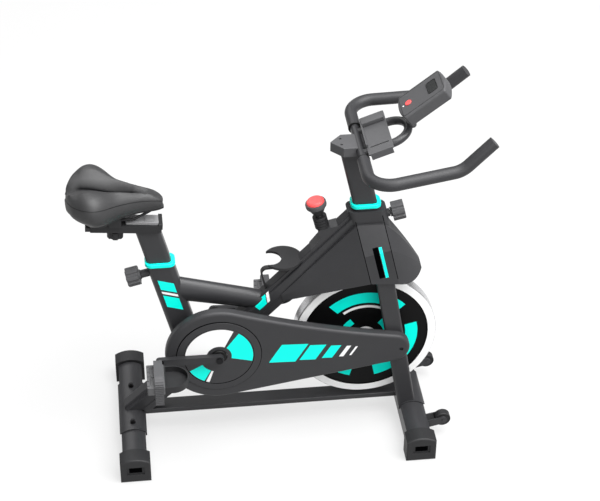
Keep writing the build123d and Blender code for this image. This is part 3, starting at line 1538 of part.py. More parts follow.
with BuildPart() as frame_fasteners:
    washer_low = foot_top + saddle_thick + 2 * fit_gap
    with BuildSketch(Plane.XY.offset(foot_base - fit_gap)):
        with Locations(*bolt_spots):
            Circle(bolt_head_radius)
    extrude(amount=-bolt_head_height)
    with BuildSketch(Plane.XY.offset(foot_base - bolt_head_height)):
        with Locations(*bolt_spots):
            Circle(bolt_radius)
    extrude(amount=washer_low + washer_height + nut_height + bolt_radius / 2 - foot_base + bolt_head_height)
    with BuildSketch(Plane.XY.offset(washer_low)):
        with Locations(*bolt_spots):
            Circle(washer_radius)
            Circle(bolt_radius + run_gap, mode=Mode.SUBTRACT)
    extrude(amount=washer_height)
    with BuildSketch(Plane.XY.offset(washer_low + washer_height)):
        with Locations(*bolt_spots):
            RegularPolygon(nut_radius, 6)
            Circle(bolt_radius + run_gap, mode=Mode.SUBTRACT)
    extrude(amount=nut_height)
    with BuildSketch(side_plane(cover_screw_x, cover_cup_depth - cover_face_y - fit_gap, cover_screw_z)):
        Circle(cover_screw_head_radius)
    extrude(amount=cover_screw_head)
    with BuildSketch(side_plane(cover_screw_x, -cover_back_y, cover_screw_z)):
        Circle(cover_screw_radius)
    extrude(amount=cover_face_y - cover_cup_depth + fit_gap - cover_back_y)
save(frame_fasteners, "frame_fasteners")
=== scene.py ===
"""Looks of an indoor exercise bike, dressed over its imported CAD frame."""

import json
import logging
import math
from collections.abc import Sequence
from dataclasses import dataclass, field, replace
from enum import Enum

import bpy
from mathutils import Matrix, Vector

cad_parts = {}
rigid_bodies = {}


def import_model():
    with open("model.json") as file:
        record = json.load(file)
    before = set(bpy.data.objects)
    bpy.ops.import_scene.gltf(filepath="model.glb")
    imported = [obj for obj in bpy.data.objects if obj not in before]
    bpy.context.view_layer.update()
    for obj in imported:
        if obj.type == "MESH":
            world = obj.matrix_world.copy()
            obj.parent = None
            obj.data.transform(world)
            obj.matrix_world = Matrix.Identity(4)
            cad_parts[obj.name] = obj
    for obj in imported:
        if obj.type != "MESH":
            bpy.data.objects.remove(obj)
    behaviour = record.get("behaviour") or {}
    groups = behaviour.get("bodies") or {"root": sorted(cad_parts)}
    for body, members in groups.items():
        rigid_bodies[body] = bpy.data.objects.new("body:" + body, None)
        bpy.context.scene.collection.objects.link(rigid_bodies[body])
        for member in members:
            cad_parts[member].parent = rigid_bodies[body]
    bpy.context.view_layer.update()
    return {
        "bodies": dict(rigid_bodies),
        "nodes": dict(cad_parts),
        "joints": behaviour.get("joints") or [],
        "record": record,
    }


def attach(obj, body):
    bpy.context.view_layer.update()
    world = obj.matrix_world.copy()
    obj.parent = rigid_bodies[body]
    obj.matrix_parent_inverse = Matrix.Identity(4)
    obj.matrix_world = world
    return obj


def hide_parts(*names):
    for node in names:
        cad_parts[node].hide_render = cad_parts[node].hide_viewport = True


LOG = logging.getLogger("exercise_bike")

# Soft edges of the prints and of the painted shade, in metres and in radians
PRINT_AND_SHADE_EDGE = 0.0003
ARC_EDGE = 0.003

# Outer radius of the polished tread, as a share of its inner radius
BRIGHT_RING_REACH = 1.2

# Sockets of the mix node for colours, whose names also stand for other sockets
MIX_FACTOR, MIX_FIRST, MIX_SECOND, MIX_RESULT = 0, 6, 7, 2

# Modelling of the new pieces
TURNED_WELD = 0.000002
WIRE_SMOOTH_DEG = 60.0
CORNER_STEPS = 6

# Directions in the bike's frame
Triple = tuple[float, float, float]
AHEAD: Triple = (1.0, 0.0, 0.0)
CROSS: Triple = (0.0, 1.0, 0.0)
UP: Triple = (0.0, 0.0, 1.0)
RIGHT_SIDE: Triple = (0.0, -1.0, 0.0)


class Colour(Enum):
    """Base colours of the bike, as linear red, green and blue."""

    CHARCOAL = (0.027, 0.027, 0.029)
    NEAR_BLACK = (0.014, 0.014, 0.015)
    # Black is also the colour of the painted shade in slots, gaps, panel edges and the saddle's channel
    BLACK = (0.0012, 0.0012, 0.0014)
    SOFT_GREY = (0.062, 0.062, 0.065)
    HIDE = (0.027, 0.027, 0.028)
    MID_GREY = (0.085, 0.085, 0.088)
    LIGHT_GREY = (0.21, 0.21, 0.215)
    CYAN = (0.0, 0.86, 0.72)
    WHITE = (0.84, 0.84, 0.84)
    RED = (0.80, 0.085, 0.085)
    STEEL = (0.56, 0.56, 0.57)
    FELT = (0.25, 0.21, 0.17)
    DISPLAY = (0.010, 0.011, 0.011)


def unit(x: float, z: float) -> Triple:
    """Unit vector in the upright middle plane."""
    length = math.hypot(x, z)
    return (x / length, 0.0, z / length)


class Body(str, Enum):
    """Moving bodies that the new pieces ride on."""

    CRANK = "crank"
    SADDLE = "saddle_group"
    HANDLEBAR = "handlebar_group"
    RIGHT_PEDAL = "right_pedal_group"
    LEFT_PEDAL = "left_pedal_group"
    TENSION_KNOB = "tension_knob_group"


class Slot(str, Enum):
    """Material slots of the record."""

    BLACK_PLASTIC = "black_plastic"
    LEATHER = "saddle_leather"
    KNOB = "knob_plastic"
    LIGHT_PLASTIC = "light_plastic"
    CONSOLE = "console_plastic"
    GRIP = "grip_foam"


@dataclass(frozen=True)
class Place:
    """A spot with its own axes: u lies across, w points out of the face."""

    origin: Triple
    u: Triple
    w: Triple

    def at(self, u: float, v: float, w: float = 0.0) -> Vector:
        """Point in the bike's frame.

        Args:
            u: Distance along u.
            v: Distance along the third axis.
            w: Distance out of the face.

        Returns:
            The point, in metres.
        """
        across, out = Vector(self.u), Vector(self.w)
        return Vector(self.origin) + u * across + v * out.cross(across) + w * out

    def moved(self, u: float, v: float, w: float = 0.0) -> "Place":
        """The same axes at another spot."""
        return Place(tuple(self.at(u, v, w)), self.u, self.w)

    def matrix(self) -> Matrix:
        """Matrix from the place's axes to the bike's frame.

        Returns:
            The matrix.
        """
        across, out = Vector(self.u), Vector(self.w)
        turn = Matrix((across, out.cross(across), out)).transposed().to_4x4()
        return Matrix.Translation(Vector(self.origin)) @ turn


def lean_place(x: float, z: float, lean_deg: float) -> Place:
    """Place in the middle plane whose face leans rearward by the given degrees."""
    lean = math.radians(lean_deg)
    return Place((x, 0.0, z), (math.cos(lean), 0.0, math.sin(lean)), (-math.sin(lean), 0.0, math.cos(lean)))


def side_place(spot: Triple, side: float) -> Place:
    """Place on a cross axle that faces left, or right where the side is negative."""
    return Place(spot, AHEAD, (0.0, side, 0.0))


class NodeBoard:
    """A node tree, with short calls to add and join its nodes."""

    def __init__(self, tree: bpy.types.NodeTree) -> None:
        """Open a node tree.

        Args:
            tree: Tree of a material or of the surroundings.
        """
        self.tree = tree

    def link(self, source: bpy.types.NodeSocket, target: bpy.types.NodeSocket) -> None:
        """Join two sockets."""
        self.tree.links.new(source, target)

    def set_input(self, socket: bpy.types.NodeSocket, value: object) -> None:
        """Put a constant on a socket, or join another socket to it.

        Args:
            socket: The input.
            value: Constant or socket.
        """
        if isinstance(value, bpy.types.NodeSocket):
            self.link(value, socket)
        else:
            socket.default_value = value

    def math(self, operation: str, first: object, second: object = 0.0,
             third: object = 0.0) -> bpy.types.NodeSocket:
        """Math node.

        Args:
            operation: Blender's name of the operation.
            first: First number or socket.
            second: Second number or socket.
            third: Third number or socket.

        Returns:
            The node's value socket.
        """
        node = self.tree.nodes.new("ShaderNodeMath")
        node.operation = operation
        for socket, value in zip(node.inputs, (first, second, third)):
            self.set_input(socket, value)
        return node.outputs["Value"]


class MaterialBoard(NodeBoard):
    """A fresh material's node tree, with the patterns that the finishes use."""

    def __init__(self, name: str) -> None:
        """Start a fresh material.

        Args:
            name: Name of the material.
        """
        self.material = bpy.data.materials.new(name)
        self.material.use_nodes = True
        super().__init__(self.material.node_tree)
        self.shader = self.tree.nodes["Principled BSDF"]
        self.coords = self.tree.nodes.new("ShaderNodeTexCoord").outputs["Object"]

    def along(self, axis: Triple, origin: Triple = (0.0, 0.0, 0.0)) -> bpy.types.NodeSocket:
        """Distance of the shaded point along an axis.

        Args:
            axis: Direction in the bike's frame.
            origin: Point from which the distance counts.

        Returns:
            The distance in metres.
        """
        node = self.tree.nodes.new("ShaderNodeVectorMath")
        node.operation = "DOT_PRODUCT"
        self.link(self.coords, node.inputs[0])
        node.inputs[1].default_value = axis
        shift = sum(a * b for a, b in zip(axis, origin))
        return self.math("SUBTRACT", node.outputs["Value"], shift)

    def within(self, value: object, half: float, soft: float = PRINT_AND_SHADE_EDGE) -> bpy.types.NodeSocket:
        """Mask that is 1 where a value lies within a half width of zero.

        Args:
            value: Signed distance.
            half: Half width of the band.
            soft: Width of the soft edge.

        Returns:
            The mask, from 0 to 1.
        """
        edge = self.math("SUBTRACT", half, self.math("ABSOLUTE", value))
        scaled = self.math("MULTIPLY_ADD", edge, 1.0 / soft, 0.5)
        return self.math("MINIMUM", self.math("MAXIMUM", scaled, 0.0), 1.0)

    def noise(self, scale: float, detail: float, stretch: Triple) -> bpy.types.NodeSocket:
        """Noise pattern on the object's own coordinates.

        Args:
            scale: Cells per metre.
            detail: Octaves of finer noise.
            stretch: Scale of the pattern along each axis.

        Returns:
            The pattern's value, from 0 to 1.
        """
        mapping = self.tree.nodes.new("ShaderNodeMapping")
        mapping.inputs["Scale"].default_value = stretch
        self.link(self.coords, mapping.inputs["Vector"])
        node = self.tree.nodes.new("ShaderNodeTexNoise")
        node.inputs["Scale"].default_value = scale
        node.inputs["Detail"].default_value = detail
        self.link(mapping.outputs["Vector"], node.inputs["Vector"])
        return node.outputs["Fac"]

    def cells(self, scale: float) -> bpy.types.NodeSocket:
        """Cell pattern, as on leather grain.

        Args:
            scale: Cells per metre.

        Returns:
            The distance to the middle of the cell.
        """
        node = self.tree.nodes.new("ShaderNodeTexVoronoi")
        node.inputs["Scale"].default_value = scale
        self.link(self.coords, node.inputs["Vector"])
        return node.outputs["Distance"]

    def ramp(self, value: object, low: float, high: float) -> bpy.types.NodeSocket:
        """Spread a value from 0 to 1 over the given limits.

        Args:
            value: Number or socket.
            low: Result at 0.
            high: Result at 1.

        Returns:
            The spread value.
        """
        node = self.tree.nodes.new("ShaderNodeMapRange")
        self.set_input(node.inputs["Value"], value)
        node.inputs["To Min"].default_value = low
        node.inputs["To Max"].default_value = high
        return node.outputs["Result"]

    def mix(self, factor: object, first: object, second: object) -> bpy.types.NodeSocket:
        """Mix two colours.

        Args:
            factor: Share of the second colour.
            first: Colour or socket.
            second: Colour or socket.

        Returns:
            The mixed colour.
        """
        node = self.tree.nodes.new("ShaderNodeMix")
        node.data_type = "RGBA"
        self.set_input(node.inputs[MIX_FACTOR], factor)
        for index, value in ((MIX_FIRST, first), (MIX_SECOND, second)):
            self.set_input(node.inputs[index], (*value, 1.0) if isinstance(value, tuple) else value)
        return node.outputs[MIX_RESULT]

    def bump(self, height: object, depth: float) -> None:
        """Raise the surface by a pattern.

        Args:
            height: Pattern from 0 to 1.
            depth: Height in metres at 1.
        """
        node = self.tree.nodes.new("ShaderNodeBump")
        node.inputs["Strength"].default_value = 1.0
        node.inputs["Distance"].default_value = depth
        self.link(height, node.inputs["Height"])
        self.link(node.outputs["Normal"], self.shader.inputs["Normal"])


@dataclass(frozen=True)
class Bar:
    """A slanted bar on a flat or gently curved face, used for prints and for painted shade."""

    colour: Colour
    centre: Triple
    along: Triple
    across: Triple
    half_length: float
    half_width: float
    slant: float = 0.0
    soft: float = PRINT_AND_SHADE_EDGE

    def mask(self, board: MaterialBoard) -> bpy.types.NodeSocket:
        """Mask of the bar.

        Args:
            board: Node tree to build in.

        Returns:
            1 on the bar and 0 off it.
        """
        v = board.along(self.across, self.centre)
        u = board.math("MULTIPLY_ADD", v, -self.slant, board.along(self.along, self.centre))
        inside = board.within(u, self.half_length, self.soft)
        return board.math("MULTIPLY", inside, board.within(v, self.half_width, self.soft))


@dataclass(frozen=True)
class Arc:
    """A part of a ring around a cross axle, used for prints and for painted shade lines."""

    colour: Colour
    centre: Triple
    inner: float
    outer: float
    middle_deg: float = 0.0
    half_deg: float = 180.0

    def mask(self, board: MaterialBoard) -> bpy.types.NodeSocket:
        """Mask of the ring part.

        Args:
            board: Node tree to build in.

        Returns:
            1 on the ring part and 0 off it.
        """
        turn = math.radians(self.middle_deg)
        u = board.along((math.cos(turn), 0.0, math.sin(turn)), self.centre)
        v = board.along((-math.sin(turn), 0.0, math.cos(turn)), self.centre)
        squares = board.math("ADD", board.math("POWER", u, 2.0), board.math("POWER", v, 2.0))
        radius = board.math("POWER", squares, 0.5)
        middle = board.math("SUBTRACT", radius, (self.inner + self.outer) / 2)
        ring = board.within(middle, (self.outer - self.inner) / 2)
        if self.half_deg >= 180.0:
            return ring
        angle = board.math("ARCTAN2", v, u)
        return board.math("MULTIPLY", ring, board.within(angle, math.radians(self.half_deg), ARC_EDGE))


@dataclass(frozen=True)
class Finish:
    """A surface finish with colour variation, roughness variation and fine relief."""

    name: str
    colour: Colour
    roughness: float = 0.5
    metallic: float = 0.0
    mottle: float = 0.10
    mottle_scale: float = 22.0
    mottle_detail: float = 4.0
    grain_scale: float = 1400.0
    grain_depth: float = 0.00003
    grain_detail: float = 3.0
    rough_spread: float = 0.06
    stretch: Triple = (1.0, 1.0, 1.0)
    leather: bool = False
    leather_noise: float = 0.35
    coat: float = 0.0
    specular: float = 0.30
    sheen: float = 0.0
    # Prints, and painted shade of slots, gaps, panel edges and channels
    marks: tuple[Bar | Arc, ...] = ()
    ribs: tuple[Triple, float, float] | None = None
    bright_ring: tuple[Triple, float] | None = None
    marks_beyond: Triple | None = None
    marks_limit: float = 0.0
    marks_both_sides: bool = False

    def make(self) -> bpy.types.Material:
        """Build the material.

        Returns:
            The finished material.
        """
        board = MaterialBoard(self.name)
        board.shader.inputs["Metallic"].default_value = self.metallic
        board.shader.inputs["Coat Weight"].default_value = self.coat
        board.shader.inputs["Sheen Weight"].default_value = self.sheen
        self.paint(board)
        self.roughen(board)
        return board.material

    def paint(self, board: MaterialBoard) -> None:
        """Colour the surface, print its marks and paint its shade marks.

        Args:
            board: Node tree to build in.
        """
        base = self.colour.value
        dark = tuple(c * (1.0 - self.mottle) for c in base)
        light = tuple(min(1.0, c * (1.0 + self.mottle)) for c in base)
        colour = board.mix(board.noise(self.mottle_scale, self.mottle_detail, self.stretch), dark, light)
        shine = self.specular
        for mark in self.marks:
            mask = self.mark_mask(board, mark)
            colour = board.mix(mask, colour, mark.colour.value)
            # Black marks lose their shine; on the caps, shroud, belt cover and saddle they are painted shade
            if mark.colour is Colour.BLACK:
                shine = board.math("MULTIPLY", shine, board.math("SUBTRACT", 1.0, mask))
        if self.bright_ring is not None:
            centre, radius = self.bright_ring
            tread = Arc(Colour.STEEL, centre, radius, radius * BRIGHT_RING_REACH).mask(board)
            colour = board.mix(tread, colour, Colour.STEEL.value)
            board.link(tread, board.shader.inputs["Metallic"])
        board.link(colour, board.shader.inputs["Base Color"])
        board.set_input(board.shader.inputs["Specular IOR Level"], shine)

    def mark_mask(self, board: MaterialBoard, mark: Bar | Arc) -> bpy.types.NodeSocket:
        """Mask of a mark, kept to the outer faces where the finish asks for it.

        Args:
            board: Node tree to build in.
            mark: The printed mark or painted shade.

        Returns:
            1 on the mark and 0 off it.
        """
        mask = mark.mask(board)
        if self.marks_beyond is None:
            return mask
        depth = board.along(self.marks_beyond)
        if self.marks_both_sides:
            depth = board.math("ABSOLUTE", depth)
        reach = board.math("SUBTRACT", depth, self.marks_limit)
        return board.math("MULTIPLY", mask, board.math("GREATER_THAN", reach, 0.0))

    def roughen(self, board: MaterialBoard) -> None:
        """Vary the roughness and raise the grain or the ribs.

        Args:
            board: Node tree to build in.
        """
        fine = board.noise(self.grain_scale, self.grain_detail, self.stretch)
        if self.leather:
            fine = board.math("MULTIPLY_ADD", fine, self.leather_noise, board.cells(self.grain_scale))
        spread = board.ramp(fine, self.roughness - self.rough_spread, self.roughness + self.rough_spread)
        board.link(spread, board.shader.inputs["Roughness"])
        if self.ribs is None:
            board.bump(fine, self.grain_depth)
            return
        axis, pitch, depth = self.ribs
        wave = board.math("SINE", board.math("MULTIPLY", board.along(axis), math.tau / pitch))
        board.bump(board.math("MULTIPLY_ADD", fine, self.grain_depth / depth, wave), depth)


@dataclass(frozen=True)
class Lamp:
    """A soft square lamp."""

    name: str
    spot: Triple
    size: float
    power: float

    def hang(self, aim: Triple) -> None:
        """Hang the lamp.

        Args:
            aim: Point that it looks at.
        """
        data = bpy.data.lights.new(self.name, "AREA")
        data.size = self.size
        data.energy = self.power
        lamp = bpy.data.objects.new(self.name, data)
        lamp.location = self.spot
        way = Vector(aim) - Vector(self.spot)
        lamp.rotation_euler = way.to_track_quat("-Z", "Y").to_euler()
        bpy.context.scene.collection.objects.link(lamp)


@dataclass(frozen=True)
class Studio:
    """Camera, lamps, floor and surroundings."""

    target: Triple = (0.06994, 0.0, 0.56755)
    distance: float = 4.39719
    azimuth_deg: float = -7.03
    elevation_deg: float = 35.87
    roll_deg: float = 0.51
    lens: float = 99.509
    sensor: float = 36.0
    farthest: float = 50.0
    floor_size: float = 14.0
    floor_glow: float = 0.64
    floor_white: float = 0.17
    floor_roughness: float = 0.9
    world_strength: float = 0.12
    world_gloss: float = 0.18
    lamp_aim: Triple = (0.0, 0.0, 0.5)
    lamps: tuple[Lamp, ...] = (
        Lamp("lamp_key", (4.0, -2.8, 7.2), 7.5, 1450.0),
        Lamp("lamp_top", (0.2, -0.4, 8.0), 7.0, 760.0),
        Lamp("lamp_side", (0.6, -7.6, 3.8), 5.0, 250.0),
        Lamp("lamp_back", (-2.4, 5.8, 5.6), 5.0, 150.0),
    )

    def build(self) -> None:
        """Set up the camera, the floor, the lamps and the surroundings."""
        self.place_camera()
        self.lay_floor()
        for lamp in self.lamps:
            lamp.hang(self.lamp_aim)
        self.whiten_world()
        bpy.context.scene.view_settings.view_transform = "Standard"

    def place_camera(self) -> None:
        """Put the camera where the photograph was taken from."""
        azimuth = math.radians(self.azimuth_deg)
        elevation = math.radians(self.elevation_deg)
        roll = math.radians(self.roll_deg)
        level = math.cos(elevation)
        back = Vector((math.sin(azimuth) * level, -math.cos(azimuth) * level, math.sin(elevation)))
        right = Vector((math.cos(azimuth), math.sin(azimuth), 0.0))
        up = back.cross(right)
        turned_right = math.cos(roll) * right + math.sin(roll) * up
        turned_up = math.cos(roll) * up - math.sin(roll) * right
        data = bpy.data.cameras.new("camera")
        data.sensor_fit = "HORIZONTAL"
        data.sensor_width = self.sensor
        data.lens = self.lens
        data.clip_end = self.farthest
        camera = bpy.data.objects.new("camera", data)
        turn = Matrix((turned_right, turned_up, back)).transposed().to_4x4()
        camera.matrix_world = Matrix.Translation(Vector(self.target) + back * self.distance) @ turn
        bpy.context.scene.collection.objects.link(camera)
        bpy.context.scene.camera = camera

    def lay_floor(self) -> None:
        """Lay a pale floor that shows as white and keeps the soft shadow."""
        bpy.ops.object.select_all(action="DESELECT")
        bpy.ops.mesh.primitive_plane_add(size=self.floor_size)
        floor = bpy.context.object
        floor.name = "floor"
        board = MaterialBoard("pale_floor")
        board.shader.inputs["Base Color"].default_value = (*(self.floor_white,) * 3, 1.0)
        board.shader.inputs["Roughness"].default_value = self.floor_roughness
        board.shader.inputs["Specular IOR Level"].default_value = 0.0
        glow = board.tree.nodes.new("ShaderNodeEmission")
        board.link(self.seen_directly(board, self.floor_glow, self.floor_glow), glow.inputs["Strength"])
        both = board.tree.nodes.new("ShaderNodeAddShader")
        board.link(board.shader.outputs[0], both.inputs[0])
        board.link(glow.outputs[0], both.inputs[1])
        board.link(both.outputs[0], board.tree.nodes["Material Output"].inputs["Surface"])
        floor.data.materials.append(board.material)

    def seen_directly(self, board: NodeBoard, strength: float, gloss: float) -> bpy.types.NodeSocket:
        """Strength that counts only for what the camera, a gloss or a clear piece sees.

        Args:
            board: Node tree to build in.
            strength: Strength for the camera and for clear pieces.
            gloss: Strength in glossy reflections.

        Returns:
            The strength socket.
        """
        rays = board.tree.nodes.new("ShaderNodeLightPath").outputs
        straight = board.math("MULTIPLY", rays["Is Camera Ray"], strength)
        clear = board.math("MULTIPLY", rays["Is Transmission Ray"], strength)
        mirrored = board.math("MULTIPLY", rays["Is Glossy Ray"], gloss)
        return board.math("MAXIMUM", board.math("MAXIMUM", straight, clear), mirrored)

    def whiten_world(self) -> None:
        """Surround the bike with white that lights it only a little."""
        world = bpy.data.worlds.new("surroundings")
        world.use_nodes = True
        bpy.context.scene.world = world
        board = NodeBoard(world.node_tree)
        background = board.tree.nodes["Background"]
        background.inputs["Color"].default_value = (1.0, 1.0, 1.0, 1.0)
        extra = self.seen_directly(board, 1.0 - self.world_strength, self.world_gloss - self.world_strength)
        board.link(board.math("ADD", extra, self.world_strength), background.inputs["Strength"])


# Places on the CAD frame, by x, z and lean, and sizes of the prints and painted shade, in metres
SEAT = lean_place(-0.3015, 0.558, 14.0)
HEAD = lean_place(0.2405, 0.706, 13.0)
CONSOLE = lean_place(0.372, 1.029, 38.0)
LOOP = lean_place(0.219, 0.891, 20.0)
TENSION = lean_place(0.12798, 0.64299, 14.0)
BEAM = lean_place(-0.060, 0.415, 46.37)
STAY = lean_place(-0.060, 0.415, 42.8)
BRACKET = (-0.158, 0.0, 0.303)
WHEEL = (0.250, 0.0, 0.280)
REAR_FOOT_X = -0.400
FRONT_FOOT_X = 0.382
CAP_SLOT_HEIGHT = 0.0405
DISC_EDGE = 0.0915
SEAT_BAR_HALF = 0.019
SEAT_SLANT = -0.6
TUBE_SLANT = 0.8
COVER_SLANT = 0.55
COVER_FALL = 0.0378
COVER_AXIS = unit(1.0, -COVER_FALL)
COVER_ACROSS = unit(COVER_FALL, 1.0)


def seat_bar(colour: Colour, drop: float, half_length: float) -> Bar:
    """Slanted bar on the side of the seat tube, at a distance under the tube's top."""
    spot = tuple(SEAT.at(0.0, 0.0, -drop))
    return Bar(colour, spot, SEAT.w, SEAT.u, half_length, SEAT_BAR_HALF, SEAT_SLANT)


def tube_bar(colour: Colour, tube: Place, reach: float, drop: float, halves: tuple[float, float]) -> Bar:
    """Slanted bar on the side of a leaning tube, at a reach along it and a drop under its line."""
    return Bar(colour, tuple(tube.at(reach, 0.0, -drop)), tube.u, tube.w, *halves, TUBE_SLANT)


def cover_bar(colour: Colour, x: float, half_length: float, half_width: float) -> Bar:
    """Slanted bar on the middle line of the belt cover."""
    z = BRACKET[2] - COVER_FALL * (x - BRACKET[0])
    return Bar(colour, (x, 0.0, z), COVER_AXIS, COVER_ACROSS, half_length, half_width, COVER_SLANT)


def shroud_bar(colour: Colour, reach: float, drop: float, halves: tuple[float, float]) -> Bar:
    """Bar along the head tube's lean on the side of the shroud."""
    return Bar(colour, tuple(HEAD.at(reach, 0.0, -drop)), HEAD.w, HEAD.u, *halves)


SEAT_TUBE_MARKS = (
    seat_bar(Colour.CYAN, 0.066, 0.016),
    seat_bar(Colour.WHITE, 0.092, 0.004),
    seat_bar(Colour.CYAN, 0.122, 0.020),
)
BEAM_MARKS = (
    tube_bar(Colour.CYAN, BEAM, 0.012, 0.016, (0.024, 0.011)),
    tube_bar(Colour.WHITE, BEAM, 0.044, 0.016, (0.005, 0.011)),
)
STAY_MARKS = (
    tube_bar(Colour.CYAN, STAY, -0.362, 0.012, (0.040, 0.007)),
    tube_bar(Colour.WHITE, STAY, -0.302, 0.012, (0.006, 0.007)),
)
COVER_PRINT_AND_GAP_SHADE = (
    cover_bar(Colour.CYAN, 0.030, 0.036, 0.030),
    cover_bar(Colour.CYAN, 0.096, 0.022, 0.025),
    cover_bar(Colour.CYAN, 0.147, 0.014, 0.021),
    cover_bar(Colour.WHITE, 0.184, 0.006, 0.018),
    cover_bar(Colour.WHITE, 0.207, 0.003, 0.015),
    # Painted shade: two thin black arcs darken the gaps between the ring and the disc and between the ring
    # and the cover
    Arc(Colour.BLACK, BRACKET, 0.0930, 0.0948),
    Arc(Colour.BLACK, BRACKET, 0.1138, 0.1158),
)
DISC_MARKS = (
    Arc(Colour.WHITE, BRACKET, 0.034, DISC_EDGE, 122.0, 58.0),
    Arc(Colour.CYAN, BRACKET, 0.034, DISC_EDGE, 20.0, 34.0),
    Arc(Colour.CYAN, BRACKET, 0.052, DISC_EDGE, 226.0, 17.0),
    Arc(Colour.WHITE, BRACKET, 0.052, DISC_EDGE, 249.0, 3.0),
)
WHEEL_MARKS = tuple(
    Arc(colour, WHEEL, inner, outer, middle + step, half)
    for colour, inner, outer, middle, half in (
        (Colour.CYAN, 0.112, 0.146, 88.0, 46.0),
        (Colour.WHITE, 0.096, 0.104, 88.0, 40.0),
        (Colour.CYAN, 0.052, 0.072, 28.0, 22.0),
    )
    for step in (0.0, 120.0, 240.0)
)
RIM_MARKS = (Arc(Colour.BLACK, WHEEL, 0.1700, 0.1752),)
SHROUD_PRINT_AND_SHADE = (
    # Painted shade: this black bar stands for the dark opening of the shroud's slot; the cyan bar beside it
    # is print
    shroud_bar(Colour.BLACK, -0.0033, 0.1475, (0.0475, 0.0074)),
    shroud_bar(Colour.CYAN, 0.0098, 0.1495, (0.0475, 0.0040)),
    # Painted shade: two thin black lines along the edges of the shroud's raised middle panel
    shroud_bar(Colour.BLACK, -0.0362, 0.1200, (0.0900, 0.0010)),
    shroud_bar(Colour.BLACK, 0.0362, 0.1200, (0.0900, 0.0010)),
)
# Painted shade: a black rectangle on each end cap's outer faces stands for the shade in its slot
CAP_SLOT_SHADE = tuple(
    Bar(Colour.BLACK, (x, 0.0, CAP_SLOT_HEIGHT), AHEAD, UP, 0.0175, 0.0085)
    for x in (REAR_FOOT_X, FRONT_FOOT_X)
)
# Painted shade: a soft black bar darkens the middle channel along the saddle's top
SADDLE_CHANNEL_SHADE = (
    Bar(Colour.BLACK, (-0.428, 0.0, 0.80), AHEAD, CROSS, 0.080, 0.014, soft=0.030),
)

# Depths of the grain, and stretch of the brush marks along x, y and z
COAT_GRAIN = 0.00004
MOULD_GRAIN = 0.00006
SCREW_BRUSHING: Triple = (1.0, 6.0, 1.0)
AXLE_BRUSHING: Triple = (1.0, 8.0, 1.0)
ROD_BRUSHING: Triple = (1.0, 1.0, 0.1)

POWDER = Finish("powder_coat", Colour.CHARCOAL, 0.36, grain_depth=COAT_GRAIN)
MOULDING = Finish("black_moulding", Colour.NEAR_BLACK, 0.55, grain_depth=MOULD_GRAIN)
HOUSING = Finish("housing_moulding", Colour.CHARCOAL, 0.50, grain_depth=MOULD_GRAIN)
# The saddle skin carries the painted shade of its channel
LEATHER = Finish("saddle_skin", Colour.HIDE, 0.50, leather=True, grain_scale=650.0, grain_depth=0.00016,
                 specular=0.42, marks=SADDLE_CHANNEL_SHADE)
THREAD = Finish("seam_thread", Colour.BLACK, 0.70, grain_scale=900.0, grain_depth=0.0001)
DARK_METAL = Finish("dark_metal", Colour.NEAR_BLACK, 0.36, 0.7, stretch=SCREW_BRUSHING)
DARK_RUBBER = Finish("dark_rubber", Colour.BLACK, 0.62, grain_depth=0.00008)
PANEL_LINE = Finish("panel_line", Colour.BLACK, 0.60)
KNOB = Finish("knob_rim_moulding", Colour.SOFT_GREY, 0.55, grain_depth=MOULD_GRAIN)
RED_MOULDING = Finish("red_moulding", Colour.RED, 0.42, mottle=0.04)
STEM_COAT = Finish("stem_coat", Colour.SOFT_GREY, 0.48, grain_depth=COAT_GRAIN)
PEDAL_MOULDING = Finish("pedal_moulding", Colour.MID_GREY, 0.50, grain_depth=MOULD_GRAIN)
WHITE_PRINT = Finish("white_print", Colour.WHITE, 0.45, mottle=0.03)


@dataclass(frozen=True)
class Wear:
    """A finish and the CAD nodes that wear it."""

    finish: Finish
    nodes: tuple[str, ...]


